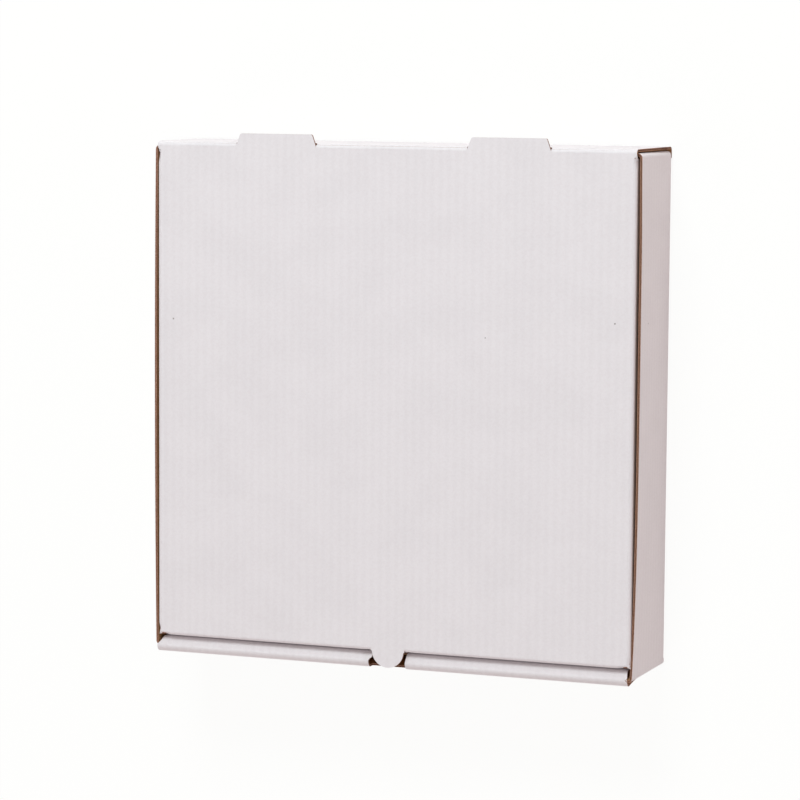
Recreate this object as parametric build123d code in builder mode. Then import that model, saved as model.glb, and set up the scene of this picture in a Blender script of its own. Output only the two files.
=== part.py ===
"""Small square pizza box, folded from one die-cut blank of fine-fluted board.

The box lies flat with its lid closed. +Z is up, +Y points to the rear crease
and -Y to the rolled front wall. The origin is the middle of the base panel's
underside. The folded tray and the lid are two solids that meet in the rear
crease, because the lid swings there. All sizes are in millimetres.
"""

import os
from math import copysign, cos, hypot, pi, radians, tan

from build123d import *

# The board: two paper liners with fine flutes between them
board = 1.4  # thickness
crease = 0.4  # inside radius of a right-angle crease
crease_land = 1.0  # straight board kept beside a crease
layer_gap = 0.2  # air between two layers that lie against each other

# The tray
inside_width = 200.0  # between the side walls at their corners
inside_length = 198.85  # from the rolled front's inner panel to the rear wall
inside_height = 40.0  # from the base to the lid's underside
wall_drop = 0.4  # how far the tray's raw edges lie below the lid's underside
wall_bow = 0.6  # how far a side wall's raw edge bellies outward halfway along
corner_inset = 0.2  # rear wall's foot, inside the side walls' outer faces

# Ears: the side walls' ends, folded in at the four corners
ear_length = 28.0  # from the side wall's outer face
ear_taper = 2.0  # lost from the top and the bottom edge at the free end
ear_rounding = 4.0  # corners of the free end

# The rolled front: outer panel, ledge and inner panel, folded over the ears
roll_depth = 5.05  # front to back at its foot
roll_splay = 2.2  # how much further forward its top stands than its foot
shoulder_radius = 2.9  # outside radius where the outer panel turns into the ledge
outer_inset_left = 0.4  # outer panel's left end, inside the side wall's outer face
inner_inset_left = 4.45  # the same at the inner panel's end
roll_inset_right = 3.2  # the roll's square right end: it is folded a little askew
mitre_start = 0.9  # behind the outer face at the foot, where the left mitre begins

# The right front corner stands beside the roll's end, almost flush with the front.
# From there its ear runs back at a slant to its place behind the outer panel.
corner_reach = 1.25  # corner's outer face in front of the ear's
corner_slant = 60  # degrees off the front
tight_crease = 0.1  # inside radius of this crease

# The finger notch in the roll, under the lid's thumb tab
notch_left = 8.9  # middle of the box to its left side, at the outer panel
notch_right = 6.6
notch_inner = 7.1  # half of its width at the inner panel
notch_depth = 4.2  # below the ledge

# Tongues of the inner panel, pushed through slots in the base
tongue_width = 26.0
tongue_offset = 50.0  # middle of the box to the middle of a tongue
tongue_recess = 0.3  # tongue's end above the base's underside
slot_clearance = 0.2  # around a tongue, on each side

# The lid
lid_clearance = 0.3  # lid to side walls and to the rolled front
side_flap_depth = 32.0  # below the lid's top
side_flap_front_taper = 10.0  # lost from the bottom edge at the front
side_flap_rear_taper = 6.0
front_flap_depth = 28.0
front_flap_lean = 4.5  # degrees inward, so that it clears the roll as it swings
front_flap_taper = 6.0  # lost from each end of the bottom edge
flap_gap = 0.6  # between neighbouring flaps, and from a flap to a rear ear
flap_rounding = 5.0  # free corners of the flaps

# The thumb tab, cut out of the front flap and level with the lid
thumb_half_width = 6.6
thumb_reach = 6.55  # in front of the lid's front edge
thumb_root = 0.5  # radius where the tab grows out of the crease

# The two vent tabs, cut out of the rear wall and level with the lid
vent_tab_width = 34.0  # at the crease
vent_tab_tip = 30.6  # width of the free edge
vent_tab_reach = 3.5  # behind the rear wall
vent_tab_offset = 48.5  # middle of the box to the middle of a tab
vent_clearance = 0.3  # around a tab that swings through its window

# Creases
fold_radius = board + crease  # outside radius of a right-angle crease
mid_radius = crease + board / 2  # the same at the middle of the board

# The tray's faces
side_x = inside_width / 2 + board  # outer face of a side wall
outer_panel_left = side_x - outer_inset_left
inner_panel_left = side_x - inner_inset_left
roll_right = side_x - roll_inset_right
tray_length = inside_length + board + roll_depth
front_y = -tray_length / 2  # outer face of the front, at its foot
rear_y = tray_length / 2  # outer face of the rear wall
lid_under = board + inside_height
lid_top = lid_under + board
wall_top = lid_under - wall_drop
ear_y = tray_length / 2 - board - layer_gap  # outer face of the ears, front and rear
wall_end = ear_y - fold_radius - crease_land  # where a side wall meets its corner creases
foot_z = fold_radius + crease_land  # where a side wall leaves its bottom crease
roll_inner_y = front_y + roll_depth  # inner panel's face towards the pizza
roll_foot = board + layer_gap  # lower edge of the inner panel
roll_roof = wall_top - board - layer_gap  # upper edge of what lies under the ledge
ear_foot = fold_radius  # lower edge of the ears and of the corner creases
front_reach = front_y - roll_splay - shoulder_radius  # well in front of the roll

# The right front corner's crease, and the slanted board behind it, at its middle
tight_radius = tight_crease + board / 2
corner_y = ear_y + corner_reach - board - tight_crease  # where this crease starts
corner_end = corner_y - crease_land  # where the right side wall meets it
slant_turn = radians(corner_slant)
slant_start = corner_y + tight_radius * tan((pi / 2 + slant_turn) / 2)
slant_run = (slant_start - ear_y + board / 2) / tan(slant_turn)
slant_end = side_x - board / 2 - slant_run
slant_ear = slant_end - mid_radius * tan(slant_turn / 2) - crease_land

# The lid's faces
lid_half = inside_width / 2 - lid_clearance
lid_front = roll_inner_y + lid_clearance
lid_flat = lid_half - fold_radius  # where the side creases begin
lid_flat_front = lid_front + fold_radius  # where the front crease begins
lid_crease_end = lid_top - fold_radius - crease_land
side_flap_rear = ear_y - board - flap_gap
front_flap_half = lid_half - board - flap_gap

# The hinge is a line on the outside of the rear crease, halfway round the bend,
# where the outer liner bends. Tray and lid meet there in a plane at 45 degrees.
bend_drop = fold_radius * (1 - cos(radians(45)))
hinge_y = rear_y - bend_drop
hinge_z = lid_top - bend_drop

os.makedirs("parts", exist_ok=True)


# The board from the rear wall's foot up and over the rear crease, full width
with BuildPart() as rear_bend:
    with BuildSketch(Plane.YZ.offset(-side_x)):
        with BuildLine():
            FilletPolyline(
                (wall_end, board / 2),
                (rear_y - board / 2, board / 2),
                (rear_y - board / 2, lid_top - board / 2),
                (rear_y - fold_radius - crease_land, lid_top - board / 2),
                radius=mid_radius,
            )
        trace(line_width=board)
    extrude(amount=2 * side_x)

# All that lies on the lid's side of the rear crease
with BuildPart() as lid_side:
    with BuildSketch(Plane.YZ.offset(-side_x)):
        with BuildLine():
            Polyline(
                (hinge_y - 2 * fold_radius, hinge_z - 2 * fold_radius),
                (hinge_y + 2 * fold_radius, hinge_z + 2 * fold_radius),
                (hinge_y - 2 * fold_radius, hinge_z + 2 * fold_radius),
                close=True,
            )
        make_face()
    extrude(amount=2 * side_x)

# The rear wall rises from the base over the full width and narrows to the lid.
# Two windows are left in its top edge, where the vent tabs were cut out.
rear_foot_half = side_x - corner_inset
vent_swing = hypot(rear_y + vent_tab_reach - hinge_y, hinge_z - lid_under)

with BuildPart() as rear_wall:
    add(rear_bend.part)
    add(lid_side.part, mode=Mode.SUBTRACT)
    with BuildSketch(Plane.XZ.offset(-rear_y)):
        with BuildLine():
            Polyline(
                (-rear_foot_half, 0),
                (rear_foot_half, 0),
                (rear_foot_half, fold_radius),
                (lid_half, lid_top),
                (-lid_half, lid_top),
                (-rear_foot_half, fold_radius),
                close=True,
            )
        make_face()
        with Locations((-vent_tab_offset, hinge_z), (vent_tab_offset, hinge_z)):
            Polygon(
                (-vent_tab_tip / 2 - vent_clearance, -vent_swing - vent_clearance),
                (vent_tab_tip / 2 + vent_clearance, -vent_swing - vent_clearance),
                (vent_tab_width / 2 + vent_clearance, 0),
                (vent_tab_width / 2 + vent_clearance, fold_radius),
                (-vent_tab_width / 2 - vent_clearance, fold_radius),
                (-vent_tab_width / 2 - vent_clearance, 0),
                align=None,
                mode=Mode.SUBTRACT,
            )
    extrude(amount=tray_length / 2, mode=Mode.INTERSECT)

# What the roll leaves free at its left end, above the base's crease: a 45 degree
# mitre. On the right it ends square.
mitre_y = front_y + mitre_start

with BuildPart() as roll_mitre:
    with BuildSketch(Plane.XY.offset(roll_foot)):
        with BuildLine():
            Polyline(
                (-outer_panel_left - 2 * board, mitre_y),
                (-outer_panel_left, mitre_y),
                (-inner_panel_left, mitre_y + outer_panel_left - inner_panel_left),
                (-inner_panel_left, roll_inner_y + board),
                (-outer_panel_left - 2 * board, roll_inner_y + board),
                close=True,
            )
        make_face()
    extrude(amount=wall_top)

# The rolled front: one strip of board that rises from the base as the outer
# panel, turns back over a rounded shoulder into the ledge, and turns down again
# as the inner panel.
with BuildPart() as rolled_front:
    with BuildSketch(Plane.YZ.offset(-outer_panel_left)):
        with BuildLine():
            FilletPolyline(
                (-wall_end, board / 2),
                (front_y + board / 2, board / 2),
                (front_y + board / 2 - roll_splay, wall_top - board / 2),
                (roll_inner_y - board / 2, wall_top - board / 2),
                (roll_inner_y - board / 2, roll_foot),
                radius=(mid_radius, shoulder_radius - board / 2, mid_radius),
            )
        trace(line_width=board)
    extrude(amount=outer_panel_left + roll_right)
    add(roll_mitre.part, mode=Mode.SUBTRACT)
    # The finger notch crosses the ledge and both of its creases
    with BuildSketch(Plane.XY.offset(wall_top - notch_depth)):
        with BuildLine():
            Polyline(
                (-notch_left, front_reach),
                (notch_right, front_reach),
                (notch_right, mitre_y),
                (notch_inner, roll_inner_y - fold_radius),
                (notch_inner, roll_inner_y + board),
                (-notch_inner, roll_inner_y + board),
                (-notch_inner, mitre_y + notch_left - notch_inner),
                (-notch_left, mitre_y),
                close=True,
            )
        make_face()
    extrude(amount=notch_depth + board, mode=Mode.SUBTRACT)

# The room that the ledge takes above the front ears and their corner creases
with BuildPart() as ledge_room:
    with BuildSketch(Plane.XY.offset(roll_roof)):
        with BuildLine():
            Polyline(
                (-outer_panel_left - layer_gap, front_reach),
                (roll_right + layer_gap, front_reach),
                (roll_right + layer_gap, roll_inner_y),
                (-inner_panel_left - layer_gap, roll_inner_y),
                (
                    -inner_panel_left - layer_gap,
                    mitre_y + outer_panel_left - inner_panel_left,
                ),
                (-outer_panel_left - layer_gap, mitre_y),
                close=True,
            )
        make_face()
    extrude(amount=lid_top)

# The side walls turn the four corners on upright creases and end in ears, which
# taper towards rounded free ends. In front the ears lie inside the roll.
square_ear = side_x - fold_radius - crease_land

with BuildPart() as ears:
    with BuildSketch(Plane.XY.offset(ear_foot)):
        for side, end in ((1, 1), (-1, 1), (-1, -1)):
            with BuildLine():
                FilletPolyline(
                    (side * (side_x - board / 2), end * wall_end),
                    (side * (side_x - board / 2), end * (ear_y - board / 2)),
                    (side * square_ear, end * (ear_y - board / 2)),
                    radius=mid_radius,
                )
            trace(line_width=board)
        with BuildLine():
            FilletPolyline(
                (side_x - board / 2, -corner_end),
                (side_x - board / 2, -slant_start),
                (slant_end, -ear_y + board / 2),
                (slant_ear, -ear_y + board / 2),
                radius=(tight_radius, mid_radius),
            )
        trace(line_width=board)
    extrude(amount=wall_top - ear_foot)
    for start, inner_face in (
        (square_ear, ear_y - board),
        (-square_ear, ear_y - board),
        (-square_ear, -ear_y),
        (slant_ear, -ear_y),
    ):
        free_end = copysign(side_x - ear_length, start)
        with BuildSketch(Plane.XZ.offset(-inner_face - board)):
            with BuildLine():
                Polyline(
                    (start, ear_foot),
                    (start, wall_top),
                    (free_end, wall_top - ear_taper),
                    (free_end, ear_foot + ear_taper),
                    close=True,
                )
            ear = make_face()
            fillet(ear.vertices().sort_by(lambda v: abs(v.X))[:2], radius=ear_rounding)
        extrude(amount=board)
    add(ledge_room.part, mode=Mode.SUBTRACT)

with BuildPart() as tray:
    # The base panel and the creases along its sides
    with BuildSketch(Plane.XZ.offset(-wall_end)):
        with BuildLine():
            FilletPolyline(
                (-side_x + board / 2, foot_z),
                (-side_x + board / 2, board / 2),
                (side_x - board / 2, board / 2),
                (side_x - board / 2, foot_z),
                radius=mid_radius,
            )
        trace(line_width=board)
    extrude(amount=2 * wall_end)

    # On the right the crease runs on beside the roll's end
    with BuildSketch(Plane.XZ.offset(wall_end)):
        with BuildLine():
            FilletPolyline(
                (roll_right, board / 2),
                (side_x - board / 2, board / 2),
                (side_x - board / 2, foot_z),
                radius=mid_radius,
            )
        trace(line_width=board)
    extrude(amount=corner_end - wall_end)

    # The side walls stand straight on their creases and belly outward at the rim
    for side, front_end in ((-1, wall_end), (1, corner_end)):
        inner = side * inside_width / 2
        outer = side * side_x
        bow = side * wall_bow
        with BuildSketch(Plane.XY.offset(foot_z)):
            with BuildLine():
                Polyline(
                    (inner, -front_end),
                    (outer, -front_end),
                    (outer, wall_end),
                    (inner, wall_end),
                    close=True,
                )
            make_face()
        with BuildSketch(Plane.XY.offset(wall_top)):
            with BuildLine():
                Line((inner, -front_end), (outer, -front_end))
                ThreePointArc((outer, -front_end), (outer + bow, 0), (outer, wall_end))
                Line((outer, wall_end), (inner, wall_end))
                ThreePointArc((inner, wall_end), (inner + bow, 0), (inner, -front_end))
            make_face()
        loft(ruled=True)

    add(ears.part)
    add(rear_wall.part)
    add(rolled_front.part)

    # Slots in the base, then the inner panel's tongues down through them
    with BuildSketch(Plane.XY):
        with Locations(
            (-tongue_offset, roll_inner_y - board / 2),
            (tongue_offset, roll_inner_y - board / 2),
        ):
            Rectangle(tongue_width + 2 * slot_clearance, board + 2 * slot_clearance)
    extrude(amount=board, mode=Mode.SUBTRACT)
    with BuildSketch(Plane.XY.offset(tongue_recess)):
        with Locations(
            (-tongue_offset, roll_inner_y - board / 2),
            (tongue_offset, roll_inner_y - board / 2),
        ):
            Rectangle(tongue_width, board)
    extrude(amount=roll_foot - tongue_recess)

tray.part.label = "tray"
export_step(tray.part, "parts/tray.step")


# A side flap hangs from the lid's edge inside the side wall. Its crease runs to
# the lid's front corner, and its ends taper.
side_flap_bottom = lid_top - side_flap_depth

with BuildPart() as side_flap:
    with BuildSketch(Plane.XZ.offset(-side_flap_rear)):
        with BuildLine():
            FilletPolyline(
                (lid_flat - crease_land, lid_top - board / 2),
                (lid_half - board / 2, lid_top - board / 2),
                (lid_half - board / 2, side_flap_bottom),
                radius=mid_radius,
            )
        trace(line_width=board)
    extrude(amount=side_flap_rear - lid_front)
    with BuildSketch(Plane.YZ.offset(lid_flat - crease_land)):
        with BuildLine():
            Polyline(
                (lid_front, lid_top),
                (lid_front, lid_crease_end),
                (lid_front + fold_radius, lid_crease_end),
                (lid_front + fold_radius + side_flap_front_taper, side_flap_bottom),
                (side_flap_rear - side_flap_rear_taper, side_flap_bottom),
                (side_flap_rear, lid_crease_end),
                (side_flap_rear, lid_top),
                close=True,
            )
        flap_face = make_face()
        fillet(flap_face.vertices().group_by(Axis.Y)[0], radius=flap_rounding)
    extrude(amount=lid_half, mode=Mode.INTERSECT)
    split(bisect_by=Plane((lid_half, lid_front, 0), z_dir=(1, 1, 0)), keep=Keep.TOP)

# The front flap tucks in behind the rolled front and leans inward. The hole
# below its crease is where the thumb tab was cut out.
thumb_hole_drop = thumb_reach + fold_radius - mid_radius * pi / 2
thumb_hole_half = thumb_half_width + thumb_root
lean_corner = lid_flat_front - mid_radius * tan(radians(45 + front_flap_lean / 2))

with BuildPart() as front_flap:
    with BuildSketch(Plane.YZ.offset(-lid_half)):
        with BuildLine():
            FilletPolyline(
                (lid_flat_front + crease_land, lid_top - board / 2),
                (lean_corner, lid_top - board / 2),
                (
                    lean_corner + front_flap_depth * tan(radians(front_flap_lean)),
                    lid_top - board / 2 - front_flap_depth,
                ),
                radius=mid_radius,
            )
        trace(line_width=board)
    extrude(amount=2 * lid_half)
    with BuildSketch(Plane.XZ.offset(-lid_front - board - front_flap_depth)):
        with BuildLine():
            Polyline(
                (-lid_half, lid_top),
                (-lid_half, lid_crease_end),
                (-front_flap_half, lid_crease_end),
                (-front_flap_half + front_flap_taper, lid_top - front_flap_depth),
                (front_flap_half - front_flap_taper, lid_top - front_flap_depth),
                (front_flap_half, lid_crease_end),
                (lid_half, lid_crease_end),
                (lid_half, lid_top),
                close=True,
            )
        flap_face = make_face()
        fillet(flap_face.vertices().group_by(Axis.Y)[0], radius=flap_rounding)
        with BuildLine():
            Polyline(
                (-thumb_hole_half, lid_crease_end),
                (-thumb_hole_half, lid_top),
                (thumb_hole_half, lid_top),
                (thumb_hole_half, lid_crease_end),
            )
            ThreePointArc(
                (thumb_hole_half, lid_crease_end),
                (0, lid_top - fold_radius - thumb_hole_drop),
                (-thumb_hole_half, lid_crease_end),
            )
        make_face(mode=Mode.SUBTRACT)
    extrude(amount=front_flap_depth + board, mode=Mode.INTERSECT)
    split(bisect_by=Plane((lid_half, lid_front, 0), z_dir=(1, 1, 0)), keep=Keep.BOTTOM)
    split(bisect_by=Plane((-lid_half, lid_front, 0), z_dir=(-1, 1, 0)), keep=Keep.BOTTOM)

# The lid's half of the rear crease, left out where the vent tabs run on flat
with BuildPart() as lid_rear_crease:
    add(rear_bend.part)
    add(lid_side.part, mode=Mode.INTERSECT)
    with BuildSketch(Plane.XY.offset(lid_under - board)):
        Rectangle(2 * lid_half, 2 * rear_y)
        with Locations((-vent_tab_offset, rear_y), (vent_tab_offset, rear_y)):
            Rectangle(vent_tab_width, 2 * fold_radius, mode=Mode.SUBTRACT)
    extrude(amount=3 * board, mode=Mode.INTERSECT)

with BuildPart() as lid:
    # The flat panel, with the thumb tab in front and the vent tabs behind
    with BuildSketch(Plane.XY.offset(lid_under)):
        with BuildLine():
            Polyline(
                (-lid_flat, lid_flat_front),
                (lid_flat, lid_flat_front),
                (lid_flat, side_flap_rear),
                (lid_half, side_flap_rear),
                (lid_half, rear_y - fold_radius),
                (-lid_half, rear_y - fold_radius),
                (-lid_half, side_flap_rear),
                (-lid_flat, side_flap_rear),
                close=True,
            )
        make_face()
        with BuildLine():
            Polyline(
                (thumb_hole_half, lid_flat_front),
                (-thumb_hole_half, lid_flat_front),
                (-thumb_hole_half, lid_front),
            )
            JernArc((-thumb_hole_half, lid_front), (1, 0), thumb_root, -90)
            ThreePointArc(
                (-thumb_half_width, lid_front - thumb_root),
                (0, lid_front - thumb_reach),
                (thumb_half_width, lid_front - thumb_root),
            )
            JernArc((thumb_half_width, lid_front - thumb_root), (0, 1), thumb_root, -90)
            Line((thumb_hole_half, lid_front), (thumb_hole_half, lid_flat_front))
        make_face()
        with Locations(
            (-vent_tab_offset, rear_y - fold_radius),
            (vent_tab_offset, rear_y - fold_radius),
        ):
            Polygon(
                (-vent_tab_width / 2, 0),
                (vent_tab_width / 2, 0),
                (vent_tab_width / 2, bend_drop),
                (vent_tab_tip / 2, fold_radius + vent_tab_reach),
                (-vent_tab_tip / 2, fold_radius + vent_tab_reach),
                (-vent_tab_width / 2, bend_drop),
                align=None,
            )
    extrude(amount=board)
    add(front_flap.part)
    add(side_flap.part)
    add(side_flap.part.mirror(Plane.YZ))
    add(lid_rear_crease.part)

lid.part.label = "lid"
export_step(lid.part, "parts/lid.step")
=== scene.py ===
"""Looks of a small square pizza box, folded from one blank of white-topped fluted board.

Every panel is a sheet of the flat blank. It is cut to its outline, meshed flat and then folded
into place, so the white liner, the brown liner and the cut edges fall where folding puts them.
Sizes in the classes are in millimetres; meshes are made in metres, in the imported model's frame.
"""

import logging
import math
from collections import defaultdict
from collections.abc import Callable, Iterable, Sequence
from dataclasses import dataclass, field
from enum import Enum, IntEnum

import bpy
import numpy as np
from mathutils import Matrix, Vector
from mathutils.geometry import delaunay_2d_cdt


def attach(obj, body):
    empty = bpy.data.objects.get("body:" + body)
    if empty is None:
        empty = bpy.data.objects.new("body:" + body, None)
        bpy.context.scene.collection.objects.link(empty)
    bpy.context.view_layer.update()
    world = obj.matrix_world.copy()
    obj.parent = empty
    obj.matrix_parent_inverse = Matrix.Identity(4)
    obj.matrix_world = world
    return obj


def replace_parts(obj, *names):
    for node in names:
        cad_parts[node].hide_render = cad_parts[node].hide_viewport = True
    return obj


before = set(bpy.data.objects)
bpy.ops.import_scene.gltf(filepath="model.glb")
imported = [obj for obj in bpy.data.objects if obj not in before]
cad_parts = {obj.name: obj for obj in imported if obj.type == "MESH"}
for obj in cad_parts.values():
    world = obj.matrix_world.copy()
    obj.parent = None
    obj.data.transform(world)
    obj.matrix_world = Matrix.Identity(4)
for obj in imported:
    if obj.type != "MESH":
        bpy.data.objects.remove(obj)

LOG = logging.getLogger("pizza_box")
MM = 0.001  # metres in a millimetre
FLUTE_PITCH = 3.44  # from one flute to the next, in millimetres
ON_LINE = 0.01  # a flat point this near to a line counts as on it
POINT_GAP = 0.02  # the least distance between two points of a sheet's border
GRID_GAP = 0.12  # the least distance from a border to a point inside of it
Point2 = tuple[float, float]
Point3 = tuple[float, float, float]
Colour = tuple[float, float, float, float]


def linear(code: str) -> Colour:
    """Turns an sRGB colour into the linear colour that a socket takes.

    Args:
        code: six hexadecimal digits after a hash sign.

    Returns:
        Linear red, green and blue, and an alpha of 1.
    """
    parts = [int(code[k : k + 2], 16) / 255 for k in (1, 3, 5)]
    red, green, blue = (
        p / 12.92 if p <= 0.04045 else ((p + 0.055) / 1.055) ** 2.4 for p in parts
    )
    return red, green, blue, 1.0


def add_node(
    tree: bpy.types.NodeTree, kind: str, inputs: dict | None = None, **settings: object
) -> bpy.types.Node:
    """Adds a node to a tree.

    Args:
        tree: the shader or geometry tree.
        kind: the node's type name.
        inputs: by socket name or number, a constant, or the output socket to link from.
        settings: the node's own properties.

    Returns:
        The new node.
    """
    node = tree.nodes.new(kind)
    for name, value in settings.items():
        setattr(node, name, value)
    for key, value in (inputs or {}).items():
        if isinstance(value, bpy.types.NodeSocket):
            tree.links.new(value, node.inputs[key])
        else:
            node.inputs[key].default_value = value
    return node


def add_object(name: str, data: bpy.types.ID) -> bpy.types.Object:
    """Adds an object to the scene.

    Args:
        name: the object's name.
        data: its mesh, light or camera.

    Returns:
        The new object.
    """
    made = bpy.data.objects.new(name, data)
    bpy.context.scene.collection.objects.link(made)
    return made


# Board and folding


@dataclass(frozen=True)
class Board:
    """Fine-fluted corrugated board: a white-topped liner, a wavy middle and a brown liner."""

    thickness: float = 1.4
    crease: float = 0.4  # inside radius of a right-angle crease
    crease_land: float = 1.0  # straight board kept beside a crease
    layer_gap: float = 0.2  # air between two layers that lie against each other
    liner: float = 0.24
    middle: float = 0.18  # thickness of the wavy paper
    flute_pitch: float = FLUTE_PITCH
    flute_steps: int = 12  # points along each flute
    cut_recess: float = 0.12  # how far inside a cut the wavy paper ends
    cut_depth: float = 1.1  # how far inside a cut the hollow between the liners runs
    crush: float = 0.5  # how far the die presses the brown liner in at a cut
    crush_reach: float = 1.3

    @property
    def half(self) -> float:
        """Half of the thickness."""
        return self.thickness / 2

    @property
    def outer_radius(self) -> float:
        """Outside radius of a right-angle crease."""
        return self.thickness + self.crease

    @property
    def mid_radius(self) -> float:
        """Radius of a right-angle crease at the middle of the board."""
        return self.crease + self.half

    @property
    def flute_height(self) -> float:
        """How far the middle paper swings to each side of the board's middle."""
        return self.half - self.liner - self.middle / 2


@dataclass(frozen=True)
class Run:
    """A straight or evenly bent stretch of a fold path."""

    begins: float
    length: float
    start: Vector
    heading: Vector
    curvature: float

    def at(self, distance: float) -> Vector:
        """Gives a point of the run, also past its ends.

        Args:
            distance: how far along the whole path the point lies.

        Returns:
            The point.
        """
        d = distance - self.begins
        if self.curvature == 0:
            return self.start + self.heading * d
        turned = self.curvature * d
        aside = Vector((-self.heading.y, self.heading.x))
        ahead = self.heading * math.sin(turned) + aside * (1 - math.cos(turned))
        return self.start + ahead / self.curvature


@dataclass
class FoldPath:
    """Middle line of folded board, seen along its creases: straight runs joined by arcs."""

    corners: Sequence[Point2]
    radii: Sequence[float]
    runs: list[Run] = field(init=False, default_factory=list)

    def __post_init__(self) -> None:
        """Works out the runs from the corners and their radii."""
        here, travelled = Vector(self.corners[0]), 0.0
        for k, radius in enumerate(self.radii, start=1):
            before, corner, after = (Vector(c) for c in self.corners[k - 1 : k + 2])
            into, out = (corner - before).normalized(), (after - corner).normalized()
            turn = math.atan2(into.cross(out), into.dot(out))
            cut = radius * math.tan(abs(turn) / 2)
            straight = (corner - into * cut - here).dot(into)
            self.runs.append(Run(travelled, straight, here, into, 0.0))
            travelled += straight
            bend = radius * abs(turn)
            bend_start = corner - into * cut
            self.runs.append(
                Run(travelled, bend, bend_start, into, math.copysign(1 / radius, turn))
            )
            travelled += bend
            here = corner + out * cut
        last = Vector(self.corners[-1])
        heading = last - Vector(self.corners[-2])
        self.runs.append(Run(travelled, (last - here).length, here, heading.normalized(), 0.0))

    @property
    def length(self) -> float:
        """Whole length of the path."""
        return self.runs[-1].begins + self.runs[-1].length

    def at(self, distance: float) -> Vector:
        """Gives a point of the path.

        Args:
            distance: how far along the path it lies.

        Returns:
            The point.
        """
        for run in self.runs:
            if distance <= run.begins + run.length:
                return run.at(distance)
        return self.runs[-1].at(distance)

    def find(self, axis: int, value: float, low: float, high: float) -> float:
        """Finds where a coordinate takes a value.

        Args:
            axis: 0 for the path's first coordinate, 1 for its second.
            value: the coordinate's value.
            low: distance along the path where the search begins.
            high: distance where it ends; the coordinate only rises or only falls between.

        Returns:
            The distance along the path.
        """
        halvings = 48
        rising = self.at(high)[axis] > self.at(low)[axis]
        for _ in range(halvings):
            middle = (low + high) / 2
            if (self.at(middle)[axis] < value) == rising:
                low = middle
            else:
                high = middle
        return (low + high) / 2

    def stops(self, spacing: float, steps: int = 7) -> list[float]:
        """Lists the distances at which a mesh along the path needs a row of points.

        Args:
            spacing: largest step on straight runs.
            steps: steps in a right-angle bend.

        Returns:
            Distances from the path's start to its end.
        """
        rows = {0.0}
        for run in self.runs:
            if run.curvature:
                count = max(2, round(steps * abs(run.curvature) * run.length / (math.pi / 2)))
            else:
                count = max(1, math.ceil(run.length / spacing))
            rows.update(run.begins + run.length * k / count for k in range(1, count + 1))
        return sorted(rows)


def smooth(share: float) -> float:
    """Eases from 0 to 1, level at both ends, and stays there outside of them."""
    share = min(1.0, max(0.0, share))
    return share * share * (3 - 2 * share)


def eased(value: float, zone: Point2) -> float:
    """Eases from 0 to 1 through a zone, given by its start and its length."""
    return smooth((value - zone[0]) / zone[1])


def spread(low: float, high: float, spacing: float) -> list[float]:
    """Gives evenly spaced values from low to high, no further apart than spacing."""
    count = max(1, math.ceil((high - low) / spacing))
    return [low + (high - low) * k / count for k in range(count + 1)]


def rounded(corners: Sequence[Point2], radii: dict[int, float], steps: int = 8) -> list[Point2]:
    """Rounds some corners of a closed outline.

    Args:
        corners: the outline's corners, in order.
        radii: corner number to radius.
        steps: points in each rounded corner.

    Returns:
        The outline with the rounded corners' points.
    """
    out: list[Point2] = []
    for k, corner in enumerate(corners):
        if k not in radii:
            out.append(corner)
            continue
        here = Vector(corner)
        back = (Vector(corners[k - 1]) - here).normalized()
        ahead = (Vector(corners[(k + 1) % len(corners)]) - here).normalized()
        half_angle = back.angle(ahead) / 2
        reach = radii[k] / math.tan(half_angle)
        centre = here + (back + ahead).normalized() * (radii[k] / math.sin(half_angle))
        first, last = here + back * reach - centre, here + ahead * reach - centre
        sweep = math.atan2(first.cross(last), first.dot(last))
        for step in range(steps + 1):
            spoke = Matrix.Rotation(sweep * step / steps, 2) @ first
            out.append(tuple(centre + spoke))
    return out


def arc_through(a: Point2, b: Point2, c: Point2, steps: int = 20) -> list[Point2]:
    """Gives points on the circle's arc that runs from a over b to c.

    Args:
        a: where the arc begins.
        b: a point on it.
        c: where it ends.
        steps: number of steps between the first and the last point.

    Returns:
        The arc's points, with both ends.
    """
    (ax, ay), (bx, by), (cx, cy) = a, b, c
    d = 2 * (ax * (by - cy) + bx * (cy - ay) + cx * (ay - by))
    aa, bb, cc = ax * ax + ay * ay, bx * bx + by * by, cx * cx + cy * cy
    ox = (aa * (by - cy) + bb * (cy - ay) + cc * (ay - by)) / d
    oy = (aa * (cx - bx) + bb * (ax - cx) + cc * (bx - ax)) / d
    centre = Vector((ox, oy))
    first, over, last = (Vector(p) - centre for p in (a, b, c))
    sweep = math.atan2(first.cross(last), first.dot(last))
    part = math.atan2(first.cross(over), first.dot(over))
    if sweep * part < 0:
        sweep -= math.copysign(2 * math.pi, sweep)
    return [
        tuple(centre + Matrix.Rotation(sweep * k / steps, 2) @ first) for k in range(steps + 1)
    ]


class Rim(Enum):
    """What closes a stretch of a sheet's border."""

    JOINED = "runs on into the next sheet"
    CUT = "cut by the die, so the flutes show"
    PRESSED = "pressed flat in a crease"


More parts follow.
